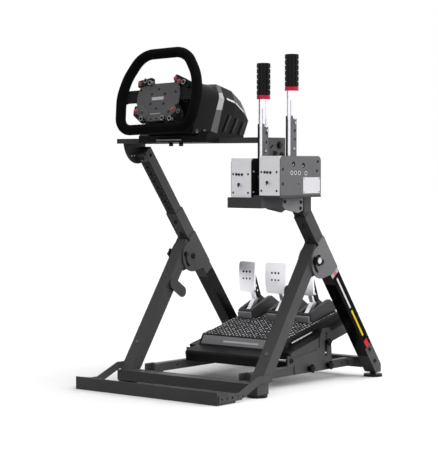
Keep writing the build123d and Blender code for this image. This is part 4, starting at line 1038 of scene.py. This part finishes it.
# Pedal base: tread plate with its lugs, sloped front panel, side strips and flange panels.
LUG, LUG_TAPER, LUG_TURN = (8.6, 3.4, 1.3), (0.55, 0.5, 1.0), 45
LUG_ROWS, LUG_COLUMNS, LUG_X0, LUG_Y0, LUG_PITCH_X, LUG_PITCH_Y = 23, 23, -145, 30, 13.4, 12.6
LUG_END, LUG_BASE, LUG_CLEAR_X, LUG_CLEAR_Y = PEDAL_L - 26, PEDAL_H + 0.4, MODULE_W / 2 + 6, MODULE_Y - 4
TREAD, TREAD_Y0 = (PEDAL_W - 12, PEDAL_L - 50, 0.6, 2.0), 26
SLOPE_RUN, FRONT_PANEL, FRONT_LINE = 24, (PEDAL_W - 16, 28, 1.2, 2.0), (132, 5.5, 0.4, 1.5)
SIDE_STRIP, SIDE_LINE, SIDE_AT, LINE_AHEAD = (150, 11, 1.0, 3.0), (104, 4.2, 0.4, 1.0), (120, 8), 12
FLANGE_PANEL, FLANGE_AT = (290, 29, 0.3, 4.0), (186.5, 150, -17.5)
lug = slab(*LUG)
pick(lug, top_faces(lug))
bpy.ops.transform.resize(value=LUG_TAPER, center_override=(0, 0, 0))
clear()
shade(lug, 50.0)
lug_places = []
for row in range(LUG_ROWS):
    for column in range(LUG_COLUMNS):
        x, y = LUG_X0 + column * LUG_PITCH_X, LUG_Y0 + row * LUG_PITCH_Y
        under = y > LUG_CLEAR_Y and any(abs(x - pedal_x) < LUG_CLEAR_X for _, pedal_x, _ in PEDALS)
        if not under and y < LUG_END:
            lug_places.append(pedal_top(x, y, LUG_BASE) @ turn(LUG_TURN if (row + column) % 2 else -LUG_TURN))
tread_place = pedal_top(0, TREAD_Y0 + TREAD[1] / 2, PEDAL_H)
lay("tread_plate", TREAD, 0.2, tread_place, "pedal_plate", tread_coat, "pedal_black")
fit("tread_lugs", lug, lug_places, "pedal_plate", lug_metal)
slope_up = (tilt_along * SLOPE_RUN + tilt_out * PEDAL_H).normalized()
slope = place(pedal_point(0, SLOPE_RUN / 2, PEDAL_H / 2), -slope_up.cross(X), slope_up)
lay("front_panel", FRONT_PANEL, 0.4, slope, "pedal_plate", panel_metal, "hub_grey", 2)
line_place = slope @ shift(2, -2, FRONT_PANEL[2])
lay("front_line", FRONT_LINE, 0.1, line_place, "pedal_plate", light_strip, "bare_aluminium")
for sx, side_name in SIDES:
    m = pedal_side(sx * PEDAL_W / 2, *SIDE_AT, X * sx)
    lay(side_name + "_side_strip", SIDE_STRIP, 0.3, m, "pedal_plate", panel_black, "pedal_black", 2)
    m = m @ shift(-LINE_AHEAD * sx, 0, SIDE_STRIP[2])
    lay(side_name + "_side_line", SIDE_LINE, 0.1, m, "pedal_plate", light_strip, "bare_aluminium")
flange_places = [pedal_side(sx * FLANGE_AT[0], *FLANGE_AT[1:], X * sx) for sx, _ in SIDES]
fit("flange_panels", ease(slab(*FLANGE_PANEL), 0.08), flange_places, "pedal_plate", coat)

# Pedals: the housings' front blocks, and dark studs that fill the faces' holes as painted shade.
FACE_FRONT, FACE_LOW = 397.2, 247.0
FACE_COLUMNS, FACE_ROWS = (-12.5, 0.0, 12.5), (-5.0, 16.0)
FRONT_BLOCK, FRONT_BLOCK_UP = (MODULE_W - 6, 19, 9.0, 2.0), PEDAL_H + 11
for name, x, face_height in PEDALS:
    m = pedal_side(x, MODULE_Y, FRONT_BLOCK_UP, -tilt_along)
    lay(name + "_front_block", FRONT_BLOCK, 1.0, m, "pedal_plate", panel_metal, "grey_aluminium", 2)
    mid = FACE_LOW + face_height / 2
    # Dark domed studs fill the holes in each face: painted shade of the holes.
    studs = [front_face(x + u, FACE_FRONT, mid + row) for u in FACE_COLUMNS for row in FACE_ROWS]
    hole_plug = dome_top(disc(3.5, 1.4, 20, z=-0.4), 1.0, 0.4)
    fit(name + "_hole_shade_plugs", hole_plug, studs, name, oxide)

# Rails: clamp knobs, the tray's ears with their slot knobs on thin studs, and plate bolts.
RAIL_FACE, EAR_FACE, SLOT_FACE = 190.0, 183.7, 190.6
RAIL_KNOBS, EAR_AT, SLOT_KNOB_AT, PLATE_BOLT_AT = ((308, 45), (400, 46)), (395, 104), (394.6, 115), (223, 75)
rail_places = both_sides(RAIL_FACE, RAIL_KNOBS)
fit("rail_knobs", star_knob(13.0, 11.0), rail_places, "pedal_rails", black_plastic)
ear = ease(slab(34, 40, 2.6, 6.0), 0.5)
fit("tray_ears", ear, both_sides(EAR_FACE, [EAR_AT]), "pedal_plate", leg_black)
slot_knob = merge([star_knob(11.0, 9.0), ease(disc(2.3, 5.4, 16, z=-4.6), 0.2)])
knob_places = both_sides(SLOT_FACE, [SLOT_KNOB_AT])
fit("slot_knobs", slot_knob, knob_places, "pedal_plate", black_plastic)
plate_places = both_sides(RAIL_FACE, [PLATE_BOLT_AT])
fit("plate_bolts", cap_screw(7.5, 4.5), plate_places, "pedal_rails", oxide)

# Lever units: a bent front sheet, side plates with sunk screws, a bare plate and face details.
SHEET_R, SHEET_BACK, SHEET_T = 11.0, 46.0, 1.0
FACE_T, PLATE_T = 7.0, 2.0
SIDE_L, SIDE_H, SIDE_TOP_R, SIDE_LOW_R = UNIT_L - 0.5, UNIT_H + SHEET_T, 13.0, 5.0
FACE_SCREWS = ((8, 12), (UNIT_W - 12, 12), (8, 61), (UNIT_W - 12, 61))
FACE_SOCKETS = ((19, 60.5), (28, 60), (38, 60))
SWITCH, SWITCH_TURN, TOGGLE_LEAN = (27, 34), 40, 38
SIDE_SCREWS = ((-138, 626), (-138, 588), (12, 621), (16, 646))
SIDE_KNOBS = ((-92, 639.5), (-49, 636))
SIDE_SOCKETS = ((-99, 617), (-83, 617), (-66, 616.5), (-37, 615.5))
SIDE_SLOT, SLOT_CUT = (-72, 587), (12, 4, 3.2, 1.5, -1.6)
INNER_SCREWS = ((-142, 620), (-142, 566), (-120, 606))
BARE_Y0, BARE_Y1, BARE_LOW, BARE_HIGH = -50, 26, 562, 605
BARE_AT = ((BARE_Y0 + BARE_Y1) / 2, (BARE_LOW + BARE_HIGH) / 2)
BARE_L, BARE_H = BARE_Y1 - BARE_Y0, BARE_HIGH - BARE_LOW
BARE_GAP, BARE_T, CORNER_IN = 0.6, 0.9, 4
SOCKET_R, SIDE_SCREW_R, SUNK, POCKET_DEPTH = 6.0, 3.6, 1.55, 1.6
GUSSET = ((-66.5, 548.5), (-66.5, 528.5), (-57, 519.6), (5, 508.6), (24.5, 516.4), (24.5, 548.5))
GUSSET_X, GUSSET_T, GUSSET_BOLTS = 376.0, 0.6, ((-57, 540), (15, 537), (12.5, 521))
inner_out, unit_out = (x0 + UNIT_W for _, x0, _, _ in LEVER_UNITS)


def bent_front():
    """Front of a lever unit, rounded over at the top and carried back along it."""
    sheet = moved(slab(UNIT_W - 2 * PLATE_T, FACE_T, UNIT_H + SHEET_T), shift(0, FACE_T / 2, 0))
    pick(sheet, lambda f: True)
    bpy.ops.mesh.bisect(plane_co=(0, 0, UNIT_H * MM), plane_no=(0, 0, 1))
    clear()
    pick(sheet, lambda f: f.normal.y > 0.9 and f.calc_center_median().z > UNIT_H * MM)
    draw_out(0, SHEET_BACK - FACE_T, 0)
    clear()
    top = (UNIT_H + SHEET_T) * MM
    pick(sheet, lambda e: all(v.co.z > top - 1e-5 and v.co.y < 1e-5 for v in e.verts), "EDGE")
    bpy.ops.mesh.bevel(offset=SHEET_R * MM, segments=8, affect="EDGES")
    clear()
    return shade(sheet, 40.0)


def side_plate():
    """Side of a lever unit with its long edge along local x and rounded corners."""
    plate = slab(SIDE_L, SIDE_H, PLATE_T)
    for edge, r in ((SIDE_H / 2, SIDE_TOP_R), (-SIDE_H / 2, SIDE_LOW_R)):
        pick(plate, lambda e: abs(e.verts[0].co.z - e.verts[1].co.z) > PLATE_T / 2 * MM
             and abs(e.verts[0].co.y - edge * MM) < 1e-6, "EDGE")
        bpy.ops.mesh.bevel(offset=r * MM, segments=6, affect="EDGES")
        clear()
    return plate


def outer_side(spots, depth=0.0):
    """Places on the right side of the outer unit, sunk in by a depth."""
    return [right_face(unit_out - depth, y, z) for y, z in spots]


def unit_fronts(spots):
    """Places on the fronts of both units, at spots from their lower left corners."""
    return [front_face(x0 + u, UNIT_Y0, z0 + h) for _, x0, z0, _ in LEVER_UNITS for u, h in spots]


for name, x0, z0, _ in LEVER_UNITS:
    front = moved(bent_front(), Matrix.Translation(at(x0 + UNIT_W / 2, UNIT_Y0, z0)))
    wear(front, name + "_bent_front", "uprights", unit_aluminium)
    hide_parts(name + "_lever_face")
    middle = (UNIT_Y0 + UNIT_L - SIDE_L / 2, z0 + SIDE_H / 2)
    near = moved(side_plate(), right_face(x0 + UNIT_W - PLATE_T, *middle))
    far = moved(side_plate(), left_face(x0 + PLATE_T, *middle))
    finish, slot = leg_black, "black_plastic"
    if name == "outer":
        finish, slot = unit_grey, "grey_aluminium"
        carve(near, merge([
            moved(slab(BARE_L, BARE_H, 2.0, z=-1.0), *outer_side([BARE_AT])),
            pockets(outer_side(SIDE_SCREWS), SIDE_SCREW_R + 0.6, POCKET_DEPTH),
            pockets(outer_side(SIDE_SOCKETS + SIDE_KNOBS), SOCKET_R + 0.8, POCKET_DEPTH),
            moved(slab(*SLOT_CUT), *outer_side([SIDE_SLOT])),
        ]))
    wear(ease(near, 0.4), name + "_right_side", "uprights", finish)
    wear(ease(far, 0.4), name + "_left_side", "uprights", finish)

switch_nut = ease(disc(4.6, 1.6, 6), 0.3)
toggle = moved(dome_top(disc(1.9, 11.0, 16), 0.8, 0.6), Matrix.Rotation(radians(TOGGLE_LEAN), 4, "X"))
switch = merge([switch_nut, ease(toggle, 0.3)])
switch_places = [m @ turn(SWITCH_TURN) for m in unit_fronts([SWITCH])]
socket_ring = ease(carve(disc(SOCKET_R, 1.4, 28), disc(SOCKET_R * 0.58, 3.0, 28, z=-0.8)), 0.3)
socket_places, knob_places = outer_side(SIDE_SOCKETS, SUNK), outer_side(SIDE_KNOBS, SUNK)
insert_places = outer_side([(y - 2.2, z - 1.8) for y, z in SIDE_KNOBS], SUNK - 0.2)
inner_places = [right_face(inner_out, y, z) for y, z in INNER_SCREWS]
UNIT_FITTINGS = (
    ("face_screws", ease(disc(3.2, 2.4, 24, z=-2.2), 0.3), unit_fronts(FACE_SCREWS), oxide, "black_plastic"),
    ("face_sockets", sink(disc(3.6, 1.2, 24), 1.3, 1.0), unit_fronts(FACE_SOCKETS), oxide, "black_plastic"),
    ("face_switches", switch, switch_places, oxide, "black_plastic"),
    ("side_screws", cap_screw(SIDE_SCREW_R, 1.4), outer_side(SIDE_SCREWS, SUNK), oxide, "black_plastic"),
    ("side_sockets", socket_ring, socket_places, steel, "bare_aluminium"),
    ("socket_pits", ease(disc(SOCKET_R * 0.56, 0.7, 28), 0.2), socket_places, panel_black, "black_plastic"),
    ("side_knobs", cap_screw(SOCKET_R + 0.5, 1.5), knob_places, panel_black, "black_plastic"),
    ("knob_inserts", ease(disc(2.6, 1.3, 20), 0.2), insert_places, steel, "bare_aluminium"),
    ("inner_screws", cap_screw(3.0, 1.8), inner_places, steel, "bare_aluminium"),
)
for name, model, places, finish, slot in UNIT_FITTINGS:
    fit(name, model, places, "uprights", finish)

# A pale sheet over the gusset's right face: painted light on a face that lies in the tray's shade.
gusset = moved(ease(flat_plate(GUSSET, GUSSET_T), 0.15), right_face(GUSSET_X, 0, 0))
wear(gusset, "gusset_painted_light", "uprights", painted_lit_plate)
gusset_places = [right_face(GUSSET_X + GUSSET_T, y, z) for y, z in GUSSET_BOLTS]
fit("gusset_bolts", cap_screw(5.0, 3.0), gusset_places, "uprights", oxide)
bare_size, bare_place = (BARE_L - BARE_GAP, BARE_H - BARE_GAP, BARE_T), outer_side([BARE_AT], 1.0)[0]
lay("bare_side_plate", bare_size, 0.15, bare_place, "uprights", plain_white, "bare_aluminium")
corner_spots = [(y, z) for y in (BARE_Y0 + CORNER_IN, BARE_Y1 - CORNER_IN)
                for z in (BARE_LOW + CORNER_IN, BARE_HIGH - CORNER_IN)]
plate_screw = ease(disc(1.9, 0.6, 20), 0.2)
fit("plate_screws", plate_screw, outer_side(corner_spots, 0.6), "uprights", oxide)

# Levers: drilled cheek, black edge plate, a dark strip along the tube that paints the shade of its slit, red
# ring and a grip of square pads.
LEVER_HALF, LEVER_PIN_UP, HOLE_AT, HOLE_PITCH = 8.0, 48.0, 26.0, 24.0
LEVER_HOLE_R, LEVER_HOLE_CUT = 4.2, 4.0
TUBE_R, TUBE_L = 13.0, 84.0
CHEEK_W, CHEEK_T, CHEEK_AHEAD, CHEEK_SUNK, CHEEK_LAP = 25.0, 2.2, 4.0, 4.0, 8.0
EDGE_W, EDGE_AHEAD = 22.0, 2.0
SLIT, SLIT_UP, SLIT_SUNK = (1.3, 46.0, 0.5, 0.6), 26, 0.2
slit_way = Vector((0.42, -0.91, 0)).normalized()
PAD_COLUMNS, PAD_ROWS, PAD_GAP, PAD_T, GRIP_CORE, GRIP_TURN = 12, 6, 1.2, 2.7, 16.2, 6
RING_R, RING_BORE, RING_H, RING_SIDES = 18.4, 17.05, 10.4, 16


def pad_grip():
    """Grip of raised square pads in rows, with a hollow in its top."""
    grip = only(disc(GRIP_CORE, GRIP_L, PAD_COLUMNS))
    bpy.ops.object.mode_set(mode="EDIT")
    for i in range(1, PAD_ROWS):
        bpy.ops.mesh.select_all(action="SELECT")
        bpy.ops.mesh.bisect(plane_co=(0, 0, GRIP_L * MM * i / PAD_ROWS), plane_no=(0, 0, 1))
    clear()
    pick(grip, upright)
    bpy.ops.mesh.inset(use_individual=True, thickness=PAD_GAP * MM, depth=0.0)
    bpy.ops.mesh.extrude_faces_move(TRANSFORM_OT_shrink_fatten={"value": PAD_T * MM})
    clear()
    return soften(sink(grip, 4.0, 2.0), 0.5, 2, 35.0)


def facet_ring():
    """Ring with a shallow panel in each of its sides."""
    ring = disc(RING_R, RING_H, RING_SIDES)
    pick(ring, upright)
    bpy.ops.mesh.inset(use_individual=True, thickness=0.8 * MM, depth=-0.4 * MM)
    clear()
    return ease(carve(ring, disc(RING_BORE, RING_H + 1.6, 48, z=-0.8)), 0.3)


for name, x0, z0, top in LEVER_UNITS:
    body = name + "_handle"
    mid = x0 + UNIT_W / 2
    grip_low = z0 + top - GRIP_L
    tube_low = grip_low - TUBE_L
    cheek_low, cheek_high = z0 + UNIT_H - CHEEK_SUNK, tube_low + CHEEK_LAP
    size_z, mid_z = cheek_high - cheek_low, (cheek_low + cheek_high) / 2
    cheek_x = mid + LEVER_HALF
    cheek = moved(slab(CHEEK_W, size_z, CHEEK_T, 4.0), right_face(cheek_x, LEVER_Y - CHEEK_AHEAD, mid_z))
    hole_rows = steps(z0 + LEVER_PIN_UP + HOLE_AT, tube_low - 10, HOLE_PITCH)
    carve(cheek, pockets([right_face(cheek_x, LEVER_Y, z) for z in hole_rows], LEVER_HOLE_R, LEVER_HOLE_CUT))
    wear(ease(cheek, 0.4), name + "_cheek", body, unit_grey)
    bolt_spots = ((-2, cheek_high - 7), (3, cheek_high - 18), (-4, cheek_low + 24))
    bolt_places = [right_face(cheek_x + CHEEK_T, LEVER_Y + y, z) for y, z in bolt_spots]
    fit(name + "_cheek_bolts", cap_screw(4.2, 2.6), bolt_places, body, steel)
    m = left_face(mid - LEVER_HALF, LEVER_Y - EDGE_AHEAD, mid_z)
    lay(name + "_edge_plate", (EDGE_W, size_z, CHEEK_T, 3.0), 0.5, m, body, leg_black, "black_plastic")
    # A thin dark strip on the tube where its slit is: painted shade of the slit.
    slit_point = at(mid, LEVER_Y, tube_low + SLIT_UP) + slit_way * (TUBE_R - SLIT_SUNK) * MM
    lay(name + "_slit_shade_strip", SLIT, 0.15, place(slit_point, slit_way, Z), body, oxide, "black_plastic")
    grip = moved(pad_grip(), place(at(mid, LEVER_Y, grip_low), Z, Y) @ turn(GRIP_TURN))
    wear(grip, name + "_ribbed_grip", body, rubber)
    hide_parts(name + "_grip")
    ring = moved(facet_ring(), place(at(mid, LEVER_Y, grip_low - RING_H), Z, Y))
    wear(ring, name + "_red_ring", body, red_ring)

size = {"cad": [list(cad_low), list(cad_high)], "visual": [list(v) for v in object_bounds()]}
